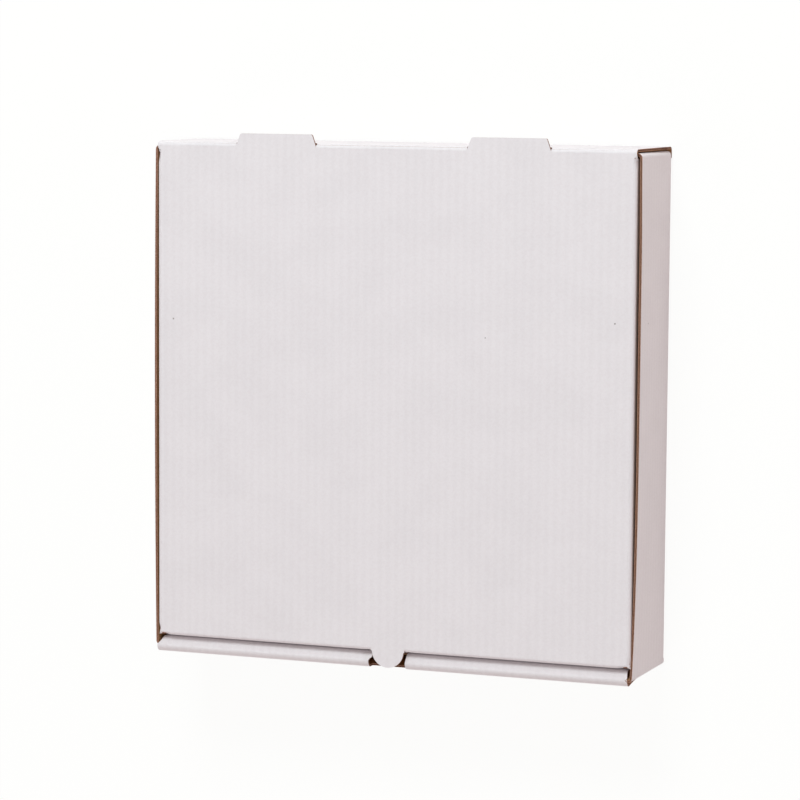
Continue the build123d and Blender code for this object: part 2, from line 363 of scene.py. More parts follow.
@dataclass
class Sheet:
    """A part of the blank that folds along parallel creases.

    Attributes:
        outline: the sheet's border in the flat, anticlockwise.
        place: gives the middle of the folded board for a point of the flat sheet.
        rows_u: values of the first flat coordinate that get points.
        rows_v: values of the second one that get points.
        faces: a flat point, and roughly where the white liner faces there.
        rim: tells what closes the border at a flat point of it.
        across_u: whether the flutes are crossed along the first flat coordinate.
        holes: borders of the holes.
        slant: tells how far the liners slide sideways, per way off the middle, near a mitre.
    """

    outline: list[Point2]
    place: Callable[[float, float], Vector]
    rows_u: list[float]
    rows_v: list[float]
    faces: tuple[Point2, Point3]
    rim: Callable[[float, float], Rim]
    across_u: bool = True
    holes: list[list[Point2]] = field(default_factory=list)
    slant: Callable[[float, float, Vector], Vector] | None = None

    def __post_init__(self) -> None:
        """Finds on which side of the sheet the white liner is."""
        self.side = 1.0
        (u, v), towards = self.faces
        self.side = math.copysign(1.0, self.normal(u, v).dot(Vector(towards)))

    def normal(self, u: float, v: float) -> Vector:
        """Gives the direction that the white liner faces.

        Args:
            u: first coordinate of the flat point.
            v: its second coordinate.

        Returns:
            The direction, one long.
        """
        step = 0.02
        du = self.place(u + step, v) - self.place(u - step, v)
        dv = self.place(u, v + step) - self.place(u, v - step)
        return du.cross(dv).normalized() * self.side

    def lift(self, u: float, v: float) -> Vector:
        """Gives the way from the board's middle to its white liner at a flat point."""
        straight = self.normal(u, v)
        return straight if self.slant is None else straight + self.slant(u, v, straight)

    def across(self, u: float, v: float) -> Point2:
        """Gives a flat point as its place across and along the flutes."""
        return (u, v) if self.across_u else (v, u)

    def border(self, loop: Sequence[Point2]) -> list[Point2]:
        """Adds a border's crossings with the rows of points to the border.

        Args:
            loop: the border's corners, in order.

        Returns:
            The corners and crossings, in order.
        """
        out: list[Point2] = []
        for k, (u0, v0) in enumerate(loop):
            u1, v1 = loop[(k + 1) % len(loop)]
            cuts = {0.0}
            for rows, low, high in ((self.rows_u, u0, u1), (self.rows_v, v0, v1)):
                if abs(high - low) > 1e-6:
                    cuts.update((r - low) / (high - low) for r in rows)
            last = -1.0
            longest = max(math.hypot(u1 - u0, v1 - v0), 1e-9)
            for t in sorted(t for t in cuts if 0 <= t < 1):
                ahead = (1 - t) * longest
                if (t - last) * longest > POINT_GAP and (t == 0 or ahead > POINT_GAP):
                    out.append((u0 + (u1 - u0) * t, v0 + (v1 - v0) * t))
                    last = t
        return out

    def inset(self, ends: np.ndarray, reach: float = 1.3) -> list[Point2]:
        """Lays a row of points along the cuts, so that the board can thin towards them.

        Args:
            ends: the two ends of each edge of all the borders.
            reach: how far inside the row runs.

        Returns:
            The points that keep clear of every border.
        """
        edges = ends[[self.rim(u, v) is Rim.CUT for u, v in ends.mean(axis=1)]]
        if not len(edges):
            return []
        along = edges[:, 1] - edges[:, 0]
        aside = np.stack([-along[:, 1], along[:, 0]], axis=1)
        aside *= reach / np.linalg.norm(along, axis=1, keepdims=True)
        row = np.concatenate([edges[:, k] + way * aside for k in (0, 1) for way in (1, -1)])
        nearly = 0.95  # lets through the row's own points, which are only just far enough
        row = row[within(row, ends)]
        row = row[clearance(row, ends) > reach * nearly]
        return list({(round(u, 1), round(v, 1)): (u, v) for u, v in row}.values())

    def mesh(self) -> tuple[list[Point2], list[tuple[int, int, int]]]:
        """Meshes the flat sheet.

        Returns:
            Flat points, and anticlockwise triangles between them.
        """
        loops = [self.border(loop) for loop in (self.outline, *self.holes)]
        edges: list[tuple[int, int]] = []
        points: list[Point2] = []
        for loop in loops:
            first = len(points)
            points += loop
            edges += [(first + k, first + (k + 1) % len(loop)) for k in range(len(loop))]
        ends = np.array([[points[a], points[b]] for a, b in edges])
        grid = np.array([(u, v) for u in self.rows_u for v in self.rows_v])
        grid = grid[within(grid, ends)]
        points += [tuple(p) for p in grid[clearance(grid, ends) > GRID_GAP]]
        points += self.inset(ends)
        same_point, least_area = 1e-5, 1e-7
        done = delaunay_2d_cdt([Vector(p) for p in points], edges, [], 0, same_point)
        flat = [(p.x, p.y) for p in done[0]]
        triangles = np.array(done[2])
        corners = np.array(flat)[triangles]
        e1, e2 = corners[:, 1] - corners[:, 0], corners[:, 2] - corners[:, 0]
        double_area = e1[:, 0] * e2[:, 1] - e1[:, 1] * e2[:, 0]
        kept = within(corners.mean(axis=1), ends) & (np.abs(double_area) > least_area)
        return flat, [
            tuple(int(i) for i in (t if area > 0 else t[::-1]))
            for t, area in zip(triangles[kept], double_area[kept])
        ]


def within(points: np.ndarray, ends: np.ndarray) -> np.ndarray:
    """Tells which points lie inside closed borders, and not in their holes.

    Args:
        points: n flat points.
        ends: the two ends of each edge of all the borders.

    Returns:
        n truth values.
    """
    (x0, y0), (x1, y1) = ends[:, 0].T[:, None], ends[:, 1].T[:, None]
    x, y = points[:, :1], points[:, 1:]
    spans = (y0 > y) != (y1 > y)
    rise = np.where(y1 == y0, 1.0, y1 - y0)
    crossing = x0 + (y - y0) * (x1 - x0) / rise
    return (np.sum(spans & (x < crossing), axis=1) % 2).astype(bool)


def clearance(points: np.ndarray, ends: np.ndarray) -> np.ndarray:
    """Gives each point's distance to the nearest edge.

    Args:
        points: n flat points.
        ends: the two ends of each edge.

    Returns:
        n distances.
    """
    start, along = ends[:, 0][None], (ends[:, 1] - ends[:, 0])[None]
    away = points[:, None] - start
    share = np.clip(np.sum(away * along, axis=2) / np.sum(along * along, axis=2), 0, 1)
    return np.linalg.norm(away - along * share[..., None], axis=2).min(axis=1)


# Finishes


class Finish:
    """Base of the finishes: one material, made once."""

    def material(self) -> bpy.types.Material:
        """Gives the finish's material, and makes it the first time.

        Returns:
            The material, named for its class.
        """
        name = type(self).__name__
        made = bpy.data.materials.get(name)
        if made is None:
            made = bpy.data.materials.new(name)
            made.use_nodes = True
            made.node_tree.nodes.clear()
            self.build(made.node_tree)
        return made

    def build(self, tree: bpy.types.NodeTree) -> None:
        """Fills the material's node tree."""
        raise NotImplementedError


@dataclass(frozen=True)
class Surface:
    """How a paper takes light, and how deep its relief is."""

    roughness: float
    specular: float
    relief: float  # in millimetres
    strength: float = 1.0
    refraction: float = 1.45

    def add(
        self,
        tree: bpy.types.NodeTree,
        colour: bpy.types.NodeSocket,
        height: bpy.types.NodeSocket,
        roughness: bpy.types.NodeSocket | None = None,
    ) -> None:
        """Adds the bump, the shader and the material's output.

        Args:
            tree: the material's tree.
            colour: the paper's colour.
            height: its relief, from 0 to 1.
            roughness: a varying roughness, in place of the even one.
        """
        bump = add_node(
            tree,
            "ShaderNodeBump",
            {"Strength": self.strength, "Distance": self.relief * MM, "Height": height},
        )
        shader = add_node(
            tree,
            "ShaderNodeBsdfPrincipled",
            {
                "Base Color": colour,
                "Roughness": self.roughness if roughness is None else roughness,
                "IOR": self.refraction,
                "Specular IOR Level": self.specular,
                "Normal": bump.outputs["Normal"],
            },
        )
        add_node(tree, "ShaderNodeOutputMaterial", {"Surface": shader.outputs[0]})


def paper_noise(
    tree: bpy.types.NodeTree, where: bpy.types.NodeSocket, grain: float, detail: float
) -> bpy.types.NodeSocket:
    """Adds a noise texture with a grain of a real size.

    Args:
        tree: the material's tree.
        where: coordinates in metres.
        grain: size of the grain in millimetres.
        detail: octaves of finer grain.

    Returns:
        The noise from 0 to 1.
    """
    noise = add_node(
        tree,
        "ShaderNodeTexNoise",
        {"Vector": where, "Scale": 1 / (grain * MM), "Detail": detail, "Roughness": 0.55},
    )
    return noise.outputs["Fac"]


def blended(
    tree: bpy.types.NodeTree,
    share: bpy.types.NodeSocket | float,
    under: bpy.types.NodeSocket | Colour,
    over: bpy.types.NodeSocket | Colour,
    how: str = "MIX",
) -> bpy.types.NodeSocket:
    """Adds a colour mix.

    Args:
        tree: the material's tree.
        share: how much of the upper colour shows.
        under: the lower colour.
        over: the upper colour.
        how: the blend mode.

    Returns:
        The mixed colour.
    """
    mix = add_node(
        tree,
        "ShaderNodeMix",
        {0: share, 6: under, 7: over},
        data_type="RGBA",
        blend_type=how,
    )
    return mix.outputs[2]


def ramped(
    tree: bpy.types.NodeTree, value: bpy.types.NodeSocket, low: float, high: float
) -> bpy.types.NodeSocket:
    """Adds a smooth ramp of a value.

    Args:
        tree: the material's tree.
        value: what is ramped.
        low: the value that gives 0.
        high: the value that gives 1.

    Returns:
        The ramp from 0 to 1.
    """
    ramp = add_node(
        tree,
        "ShaderNodeMapRange",
        {"Value": value, "From Min": low, "From Max": high},
        interpolation_type="SMOOTHSTEP",
    )
    return ramp.outputs["Result"]


def flute_ribs(
    tree: bpy.types.NodeTree, flat: bpy.types.NodeSocket, pitch: float
) -> bpy.types.NodeSocket:
    """Adds a rib for each flute, wherever the blank's flutes run.

    Args:
        tree: the material's tree.
        flat: place across and along the flutes, in metres.
        pitch: from one flute to the next, in millimetres.

    Returns:
        1 on a flute's tip and 0 halfway between two.
    """
    split = add_node(tree, "ShaderNodeSeparateXYZ", {0: flat})
    turns = add_node(
        tree,
        "ShaderNodeMath",
        {0: split.outputs["X"], 1: 2 * math.pi / (pitch * MM)},
        operation="MULTIPLY",
    )
    rib = add_node(tree, "ShaderNodeMath", {0: turns.outputs[0]}, operation="COSINE")
    return ramped(tree, rib.outputs[0], -1.0, 1.0)


@dataclass(frozen=True)
class WhiteTopLiner(Finish):
    """White-top testliner, the board's printed side left unprinted.

    A bleached top ply over recycled pulp, dried on a steel cylinder: matt, with a cloudy
    formation, a few dirt specks, and faint darker ribs along the flute tips.
    """

    pulp: str = "#E7E2E5"
    thin_place: str = "#E4DFE2"
    fibre_shade: str = "#FCFBFB"
    tip_shade: str = "#FDFDFD"
    speck: str = "#6F665F"
    cloud: float = 16.0
    cloud_range: Point2 = (0.3, 0.75)  # noise below it is pulp, noise above it a thin place
    fibre: float = 0.9
    fibre_range: Point2 = (0.35, 0.7)
    fibre_relief: float = 0.12
    speck_spacing: float = 46.0
    speck_radius: float = 0.33
    speckless: float = 0.45  # share of the pattern's cells that have no speck
    smoothest: float = 0.52
    surface: Surface = Surface(roughness=0.66, specular=0.35, relief=0.0095)

    def build(self, tree: bpy.types.NodeTree) -> None:
        """Fills the material's node tree.

        Args:
            tree: the material's empty tree.
        """
        place = add_node(tree, "ShaderNodeTexCoord").outputs["Object"]
        flat = add_node(tree, "ShaderNodeUVMap", uv_map="blank").outputs["UV"]
        # Formation: the ply is thinner in cloudy patches, where the pulp below greys it
        cloudy = ramped(tree, paper_noise(tree, place, self.cloud, 3.0), *self.cloud_range)
        colour = blended(tree, cloudy, linear(self.pulp), linear(self.thin_place))
        fibres = paper_noise(tree, place, self.fibre, 2.0)
        fine = ramped(tree, fibres, *self.fibre_range)
        colour = blended(tree, fine, colour, linear(self.fibre_shade), "MULTIPLY")
        # Flute tips: the ply is made a little darker along each flute tip
        ribs = flute_ribs(tree, flat, FLUTE_PITCH)
        colour = blended(tree, ribs, colour, linear(self.tip_shade), "MULTIPLY")
        # Dirt specks: one in some of the cells of a coarse random pattern
        cells = add_node(
            tree,
            "ShaderNodeTexVoronoi",
            {"Vector": flat, "Scale": 1 / (self.speck_spacing * MM)},
            voronoi_dimensions="2D",
        )
        chance = add_node(tree, "ShaderNodeSeparateColor", {0: cells.outputs["Color"]})
        size = add_node(
            tree,
            "ShaderNodeMath",
            {
                0: ramped(tree, chance.outputs[0], self.speckless, 1.0),
                1: self.speck_radius / self.speck_spacing,
            },
            operation="MULTIPLY",
        )
        apart = add_node(
            tree,
            "ShaderNodeMath",
            {0: cells.outputs["Distance"], 1: size.outputs[0]},
            operation="LESS_THAN",
        )
        faint = add_node(
            tree,
            "ShaderNodeMath",
            {0: apart.outputs[0], 1: chance.outputs[1]},
            operation="MULTIPLY",
        )
        colour = blended(tree, faint.outputs[0], colour, linear(self.speck))
        rough = add_node(
            tree,
            "ShaderNodeMapRange",
            {"Value": fibres, "To Min": self.smoothest, "To Max": self.surface.roughness},
        )
        height = add_node(
            tree,
            "ShaderNodeMath",
            {0: fibres, 1: self.fibre_relief, 2: ribs},
            operation="MULTIPLY_ADD",
        )
        self.surface.add(tree, colour, height.outputs[0], rough.outputs["Result"])


@dataclass(frozen=True)
class KraftLiner(Finish):
    """Brown testliner, the board's inner side: unbleached recycled pulp, matt and flecked."""

    pulp: str = "#B58B62"
    dark_pulp: str = "#AA8059"
    fleck: str = "#7C5A3C"
    tip_shade: str = "#F4F1EE"
    cloud: float = 7.0
    cloud_range: Point2 = (0.3, 0.7)
    fibre: float = 0.7
    fleck_range: Point2 = (0.6, 0.72)
    fibre_stretch: float = 0.35
    fibre_relief: float = 0.5
    surface: Surface = Surface(roughness=0.82, specular=0.25, relief=0.02)

    def build(self, tree: bpy.types.NodeTree) -> None:
        """Fills the material's node tree.

        Args:
            tree: the material's empty tree.
        """
        place = add_node(tree, "ShaderNodeTexCoord").outputs["Object"]
        flat = add_node(tree, "ShaderNodeUVMap", uv_map="blank").outputs["UV"]
        cloudy = ramped(tree, paper_noise(tree, place, self.cloud, 4.0), *self.cloud_range)
        colour = blended(tree, cloudy, linear(self.pulp), linear(self.dark_pulp))
        # Fibres lie mostly along the machine's run, across the flutes
        stretched = add_node(
            tree, "ShaderNodeMapping", {"Vector": flat, "Scale": (self.fibre_stretch, 1.0, 1.0)}
        )
        fibres = paper_noise(tree, stretched.outputs[0], self.fibre, 3.0)
        flecks = ramped(tree, fibres, *self.fleck_range)
        colour = blended(tree, flecks, colour, linear(self.fleck))
        ribs = flute_ribs(tree, flat, FLUTE_PITCH)
        colour = blended(tree, ribs, colour, linear(self.tip_shade), "MULTIPLY")
        height = add_node(
            tree,
            "ShaderNodeMath",
            {0: fibres, 1: self.fibre_relief, 2: ribs},
            operation="MULTIPLY_ADD",
        )
        self.surface.add(tree, colour, height.outputs[0])


@dataclass(frozen=True)
class CutFluting(Finish):
    """Raw die-cut edge: torn fibre ends of the liners and the wavy middle, dull and darker."""

    fibre_ends: str = "#B58B78"
    shaded: str = "#8C6450"
    fray: float = 0.5
    fray_range: Point2 = (0.35, 0.65)
    surface: Surface = Surface(roughness=0.9, specular=0.2, relief=0.05, strength=0.8)

    def build(self, tree: bpy.types.NodeTree) -> None:
        """Fills the material's node tree.

        Args:
            tree: the material's empty tree.
        """
        place = add_node(tree, "ShaderNodeTexCoord").outputs["Object"]
        frayed = paper_noise(tree, place, self.fray, 3.0)
        share = ramped(tree, frayed, *self.fray_range)
        colour = blended(tree, share, linear(self.fibre_ends), linear(self.shaded))
        self.surface.add(tree, colour, frayed)


# From folded sheets to meshes


class Slot(IntEnum):
    """A piece's material slots, by what shows there."""

    WHITE = 0
    BROWN = 1
    CUT = 2


@dataclass
class Folder:
    """Folds sheets into one piece of board, and keeps the ribbons for the flutes in its cuts."""

    board: Board
    points: list[Vector] = field(default_factory=list)
    polygons: list[tuple[int, ...]] = field(default_factory=list)
    corners: list[tuple[Point2, ...]] = field(default_factory=list)
    normals: list[tuple[Vector, ...]] = field(default_factory=list)
    slots: list[Slot] = field(default_factory=list)
    ribbon: list[tuple[Vector, Vector, float]] = field(default_factory=list)
    ribbon_quads: list[tuple[int, int, int, int]] = field(default_factory=list)

    def add(self, sheet: Sheet) -> None:
        """Folds a sheet and adds its two liners and its borders.

        Args:
            sheet: the sheet.
        """
        flat, triangles = sheet.mesh()
        sides = {(t[k], t[(k + 1) % 3]) for t in triangles for k in range(3)}
        rims: dict[Rim, list[tuple[int, int]]] = defaultdict(list)
        for a, b in sides:
            if (b, a) not in sides:
                (u0, v0), (u1, v1) = flat[a], flat[b]
                rims[sheet.rim((u0 + u1) / 2, (v0 + v1) / 2)].append((a, b))
        first = len(self.points)
        middles = [sheet.place(u, v) for u, v in flat]
        facing = [sheet.normal(u, v) for u, v in flat]
        crushed = self.crushed(flat, rims[Rim.CUT])
        lifts = [sheet.lift(u, v) for u, v in flat]
        half = self.board.half
        self.points += [p + n * half for p, n in zip(middles, lifts)]
        self.points += [p - n * (half - c) for p, n, c in zip(middles, lifts, crushed)]
        below = len(flat)
        keys = [sheet.across(u, v) for u, v in flat]
        for a, b, c in triangles:
            top = (a, b, c) if sheet.side > 0 else (c, b, a)
            for layer, turned, slot, way in (
                (0, top, Slot.WHITE, 1),
                (below, top[::-1], Slot.BROWN, -1),
            ):
                self.polygons.append(tuple(first + layer + i for i in turned))
                self.corners.append(tuple(keys[i] for i in turned))
                self.normals.append(tuple(facing[i] * way for i in turned))
                self.slots.append(slot)
        for a, b in rims[Rim.PRESSED]:
            ring = (first + below + a, first + below + b, first + b, first + a)
            self._quad(ring, sheet, [flat[i] for i in (a, b, b, a)], Slot.BROWN)
        self._cut_edges(sheet, flat, rims[Rim.CUT], first)

    def crushed(self, flat: Sequence[Point2], cut: Sequence[tuple[int, int]]) -> list[float]:
        """Gives how far the die pressed the brown liner in at flat points.

        Args:
            flat: the sheet's flat points.
            cut: the edges that the die cut.

        Returns:
            One value for each point.
        """
        if not cut:
            return [0.0] * len(flat)
        ends = np.array([[flat[a], flat[b]] for a, b in cut])
        return [self.crush_at(away) for away in clearance(np.array(flat), ends)]

    def crush_at(self, away: float) -> float:
        """Gives how far the brown liner is pressed in at a distance from a cut."""
        return self.board.crush * (1 - smooth(away / self.board.crush_reach))

    def _quad(
        self, ring: tuple[int, ...], sheet: Sheet, flat: Sequence[Point2], slot: Slot
    ) -> None:
        """Adds one face of a border, turned so that it points outwards.

        Args:
            ring: the face's four points, by their numbers in the piece.
            sheet: the sheet whose border it is.
            flat: the four points in the flat.
            slot: what shows there.
        """
        lift = self.board.half
        heights = (-lift, -lift, lift, lift)
        keys = [(sheet.across(u, v)[0], h) for (u, v), h in zip(flat, heights)]
        if sheet.side < 0:
            ring, keys = ring[::-1], keys[::-1]
        self.polygons.append(ring)
        self.corners.append(tuple(keys))
        self.normals.append(())
        self.slots.append(slot)

    def _cut_edges(
        self, sheet: Sheet, flat: Sequence[Point2], cut: Sequence[tuple[int, int]], first: int
    ) -> None:
        """Closes cut borders: two liner ends with a hollow between them for the flutes.

        Args:
            sheet: the sheet.
            flat: its flat points.
            cut: the border's edges, with the sheet on their left.
            first: number of the sheet's first point in the piece.
        """
        inward: dict[int, Vector] = defaultdict(lambda: Vector((0.0, 0.0)))
        for a, b in cut:
            along = (Vector(flat[b]) - Vector(flat[a])).normalized()
            for i in (a, b):
                inward[i] += Vector((-along.y, along.x))
        rings: dict[int, tuple[int, ...]] = {}
        lip = self.board.half - self.board.liner
        crush, deep_crush = self.crush_at(0.0), self.crush_at(self.board.cut_depth)
        one_edge, sharpest = 1.2, 0.8
        for i, way in inward.items():
            # Where two edges meet, their two directions are added up to that of their mitre
            edges = 2 if way.length > one_edge else 1
            way /= max(way.length_squared / edges, sharpest)
            u, v = flat[i]
            deep = (u + way.x * self.board.cut_depth, v + way.y * self.board.cut_depth)
            outer, n = sheet.place(u, v), sheet.lift(u, v)
            inner, m = sheet.place(*deep), sheet.lift(*deep)
            start = len(self.points)
            self.points.append(outer - n * (lip - crush))
            self.points.append(inner - m * (lip - deep_crush))
            self.points += [inner + m * lip, outer + n * lip]
            rings[i] = (first + len(flat) + i, *range(start, start + 4), first + i)
        for a, b in cut:
            for k in range(len(rings[a]) - 1):
                ring = (rings[a][k], rings[b][k], rings[b][k + 1], rings[a][k + 1])
                self._quad(ring, sheet, [flat[i] for i in (a, b, b, a)], Slot.CUT)
            self._add_ribbon(sheet, flat[a], flat[b], inward[a], inward[b])

    def _add_ribbon(
        self, sheet: Sheet, a: Point2, b: Point2, way_a: Vector, way_b: Vector
    ) -> None:
        """Adds a flat ribbon along a cut edge, which the flutes are made from.

        Args:
            sheet: the sheet that is cut.
            a: where the edge begins, in the flat.
            b: where it ends.
            way_a: inward direction at a.
            way_b: inward direction at b.
        """
        crossed = abs(sheet.across(*b)[0] - sheet.across(*a)[0])
        step = self.board.flute_pitch / self.board.flute_steps
        count = max(1, math.ceil(crossed / step))
        full = self.board.half - self.board.liner
        start = len(self.ribbon)
        for k in range(count + 1):
            t = k / count
            way = way_a.lerp(way_b, t)
            for depth in (self.board.cut_recess, self.board.cut_depth):
                u = a[0] + (b[0] - a[0]) * t + way.x * depth
                v = a[1] + (b[1] - a[1]) * t + way.y * depth
                key = sheet.across(u, v)[0]
                n, pressed = sheet.normal(u, v), self.crush_at(depth) / 2
                middle = sheet.place(u, v) + n * pressed
                self.ribbon.append((middle, n * (1 - pressed / full), key))
        for k in range(count):
            i = start + 2 * k
            quad = (i, i + 2, i + 3, i + 1)
            self.ribbon_quads.append(quad if sheet.side > 0 else quad[::-1])

    def piece(self, name: str) -> bpy.types.Object:
        """Makes the folded board's object.

        Args:
            name: the piece's name.

        Returns:
            The object, with white liner, brown liner and cut edges in its three slots.
        """
        mesh = bpy.data.meshes.new(name)
        mesh.from_pydata([p * MM for p in self.points], [], self.polygons)
        for finish in (WhiteTopLiner(), KraftLiner(), CutFluting()):
            mesh.materials.append(finish.material())
        layer = mesh.uv_layers.new(name="blank")
        flat = [c * MM for face in self.corners for point in face for c in point]
        layer.data.foreach_set("uv", flat)
        mesh.polygons.foreach_set("material_index", [int(slot) for slot in self.slots])
        mesh.polygons.foreach_set("use_smooth", [slot is not Slot.CUT for slot in self.slots])
        mesh.update()
        loops = [
            tuple(n)
            for face, given in zip(mesh.polygons, self.normals)
            for n in (given or [face.normal] * face.loop_total)
        ]
        mesh.normals_split_custom_set(loops)
        mesh.validate()
        LOG.info("%s: %d faces", name, len(mesh.polygons))
        return add_object(name, mesh)


@dataclass(frozen=True)
class Corrugator:
    """Presses flat ribbons into fluted paper with Geometry Nodes."""

    board: Board
    weld: float = 0.002  # points nearer to each other than this become one

    def tree(self) -> bpy.types.NodeTree:
        """Builds the node tree, with the flutes' sizes as named inputs.

        Returns:
            A tree that reads each point's place across the flutes and the way the board faces.
        """
        tree = bpy.data.node_groups.get("press_flutes")
        if tree is not None:
            return tree
        tree = bpy.data.node_groups.new("press_flutes", "GeometryNodeTree")
        face = tree.interface
        face.new_socket("Geometry", in_out="INPUT", socket_type="NodeSocketGeometry")
        for name in ("Flute Pitch", "Flute Height", "Paper"):
            face.new_socket(name, in_out="INPUT", socket_type="NodeSocketFloat")
        face.new_socket("Finish", in_out="INPUT", socket_type="NodeSocketMaterial")
        face.new_socket("Geometry", in_out="OUTPUT", socket_type="NodeSocketGeometry")
        given = add_node(tree, "NodeGroupInput")
        across = add_node(
            tree, "GeometryNodeInputNamedAttribute", {"Name": "across"}, data_type="FLOAT"
        )
        facing = add_node(
            tree,
            "GeometryNodeInputNamedAttribute",
            {"Name": "facing"},
            data_type="FLOAT_VECTOR",
        )
        flutes = add_node(
            tree,
            "ShaderNodeMath",
            {0: across.outputs[0], 1: given.outputs["Flute Pitch"]},
            operation="DIVIDE",
        )
        turns = add_node(
            tree, "ShaderNodeMath", {0: flutes.outputs[0], 1: 2 * math.pi}, operation="MULTIPLY"
        )
        wave = add_node(tree, "ShaderNodeMath", {0: turns.outputs[0]}, operation="COSINE")
        half_paper = add_node(
            tree,
            "ShaderNodeMath",
            {0: given.outputs["Paper"], 1: -0.5},
            operation="MULTIPLY",
        )
        swing = add_node(
            tree,
            "ShaderNodeMath",
            {0: wave.outputs[0], 1: given.outputs["Flute Height"], 2: half_paper.outputs[0]},
            operation="MULTIPLY_ADD",
        )
        lift = add_node(
            tree,
            "ShaderNodeVectorMath",
            {0: facing.outputs[0], "Scale": swing.outputs[0]},
            operation="SCALE",
        )
        pressed = add_node(
            tree,
            "GeometryNodeSetPosition",
            {"Geometry": given.outputs["Geometry"], "Offset": lift.outputs[0]},
        )
        paper = add_node(
            tree,
            "ShaderNodeVectorMath",
            {0: facing.outputs[0], "Scale": given.outputs["Paper"]},
            operation="SCALE",
        )
        upper = add_node(
            tree,
            "GeometryNodeExtrudeMesh",
            {
                "Mesh": pressed.outputs[0],
                "Offset": paper.outputs[0],
                "Offset Scale": 1.0,
                "Individual": False,
            },
            mode="FACES",
        )
        lower = add_node(tree, "GeometryNodeFlipFaces", {0: pressed.outputs[0]})
        both = add_node(tree, "GeometryNodeJoinGeometry")
        tree.links.new(upper.outputs["Mesh"], both.inputs[0])
        tree.links.new(lower.outputs[0], both.inputs[0])
        welded = add_node(
            tree,
            "GeometryNodeMergeByDistance",
            {"Geometry": both.outputs[0], "Distance": self.weld * MM},
        )
        real = add_node(tree, "GeometryNodeRealizeInstances", {0: welded.outputs[0]})
        dressed = add_node(
            tree,
            "GeometryNodeSetMaterial",
            {"Geometry": real.outputs[0], "Material": given.outputs["Finish"]},
        )
        add_node(tree, "NodeGroupOutput", {0: dressed.outputs[0]})
        return tree

    def press(self, name: str, folders: Iterable[Folder]) -> bpy.types.Object:
        """Makes the flutes that show in the cut edges of some folded sheets.

        Args:
            name: the piece's name.
            folders: the folded sheets, with their ribbons.

        Returns:
            The fluted paper as a plain mesh.
        """
        ribbon: list[tuple[Vector, Vector, float]] = []
        quads: list[tuple[int, ...]] = []
        for folder in folders:
            first = len(ribbon)
            ribbon += folder.ribbon
            quads += [tuple(first + i for i in q) for q in folder.ribbon_quads]
        mesh = bpy.data.meshes.new(name)
        mesh.from_pydata([p * MM for p, _, _ in ribbon], [], quads)
        keys = mesh.attributes.new("across", "FLOAT", "POINT")
        keys.data.foreach_set("value", [key * MM for _, _, key in ribbon])
        ways = mesh.attributes.new("facing", "FLOAT_VECTOR", "POINT")
        ways.data.foreach_set("vector", [c for _, n, _ in ribbon for c in n])
        flat = add_object(name + "_ribbon", mesh)
        modifier = flat.modifiers.new("flutes", "NODES")
        modifier.node_group = self.tree()
        sizes = {
            "Flute Pitch": self.board.flute_pitch * MM,
            "Flute Height": self.board.flute_height * MM,
            "Paper": self.board.middle * MM,
            "Finish": CutFluting().material(),
        }
        for item in modifier.node_group.interface.items_tree:
            if item.in_out == "INPUT" and item.name in sizes:
                modifier[item.identifier] = sizes[item.name]
        shaped = flat.evaluated_get(bpy.context.evaluated_depsgraph_get())
        done = bpy.data.meshes.new_from_object(shaped)
        done.name = name
        bpy.data.objects.remove(flat)
        bpy.data.meshes.remove(mesh)
        LOG.info("%s: %d faces", name, len(done.polygons))
        return add_object(name, done)


# The box


@dataclass(frozen=True)
class BoxSizes:
    """Sizes that the tray and the lid share."""

    board: Board = Board()
    inside_width: float = 200.0
    inside_length: float = 198.85
    inside_height: float = 40.0
    wall_drop: float = 0.4
    roll_depth: float = 5.05
    lid_clearance: float = 0.3
    flap_gap: float = 0.6
    vent_tab_width: float = 34.0
    vent_tab_tip: float = 30.6
    vent_tab_reach: float = 3.498
    vent_tab_offset: float = 48.5
    thumb_half_width: float = 6.6
    thumb_reach: float = 6.55
    thumb_root: float = 0.5

    @property
    def side_x(self) -> float:
        """Outer face of a side wall."""
        return self.inside_width / 2 + self.board.thickness

    @property
    def rear_y(self) -> float:
        """Outer face of the rear wall."""
        return (self.inside_length + self.board.thickness + self.roll_depth) / 2

    @property
    def front_y(self) -> float:
        """Outer face of the front, at its foot."""
        return -self.rear_y

    @property
    def lid_top(self) -> float:
        """Height of the lid's white side."""
        return self.inside_height + 2 * self.board.thickness

    @property
    def wall_top(self) -> float:
        """Height of the tray's raw edges and of the ledge."""
        return self.inside_height + self.board.thickness - self.wall_drop

    @property
    def ear_y(self) -> float:
        """Outer face of the ears."""
        return self.rear_y - self.board.thickness - self.board.layer_gap

    @property
    def wall_end(self) -> float:
        """Where a side wall meets its corner creases."""
        return self.ear_y - self.board.outer_radius - self.board.crease_land

    @property
    def roll_inner_y(self) -> float:
        """Face of the rolled front towards the pizza."""
        return self.front_y + self.roll_depth

    @property
    def lid_half(self) -> float:
        """Half of the lid's width."""
        return self.inside_width / 2 - self.lid_clearance

    @property
    def lid_front(self) -> float:
        """Outer face of the lid's front crease."""
        return self.roll_inner_y + self.lid_clearance

    @property
    def bend_drop(self) -> float:
        """How far the hinge line lies below and in front of the rear crease's tangents."""
        return self.board.outer_radius * (1 - math.cos(math.pi / 4))

    def rear_bend(self) -> FoldPath:
        """Lays out the board from the base over the rear wall to the lid.

        Returns:
            The middle of the board, from front to rear and upwards.
        """
        h, top = self.board.half, self.lid_top - self.board.half
        back = self.rear_y - h
        far = self.rear_y - self.board.outer_radius - self.board.crease_land
        path = ((self.wall_end, h), (back, h), (back, top), (far, top))
        return FoldPath(path, (self.board.mid_radius,) * 2)


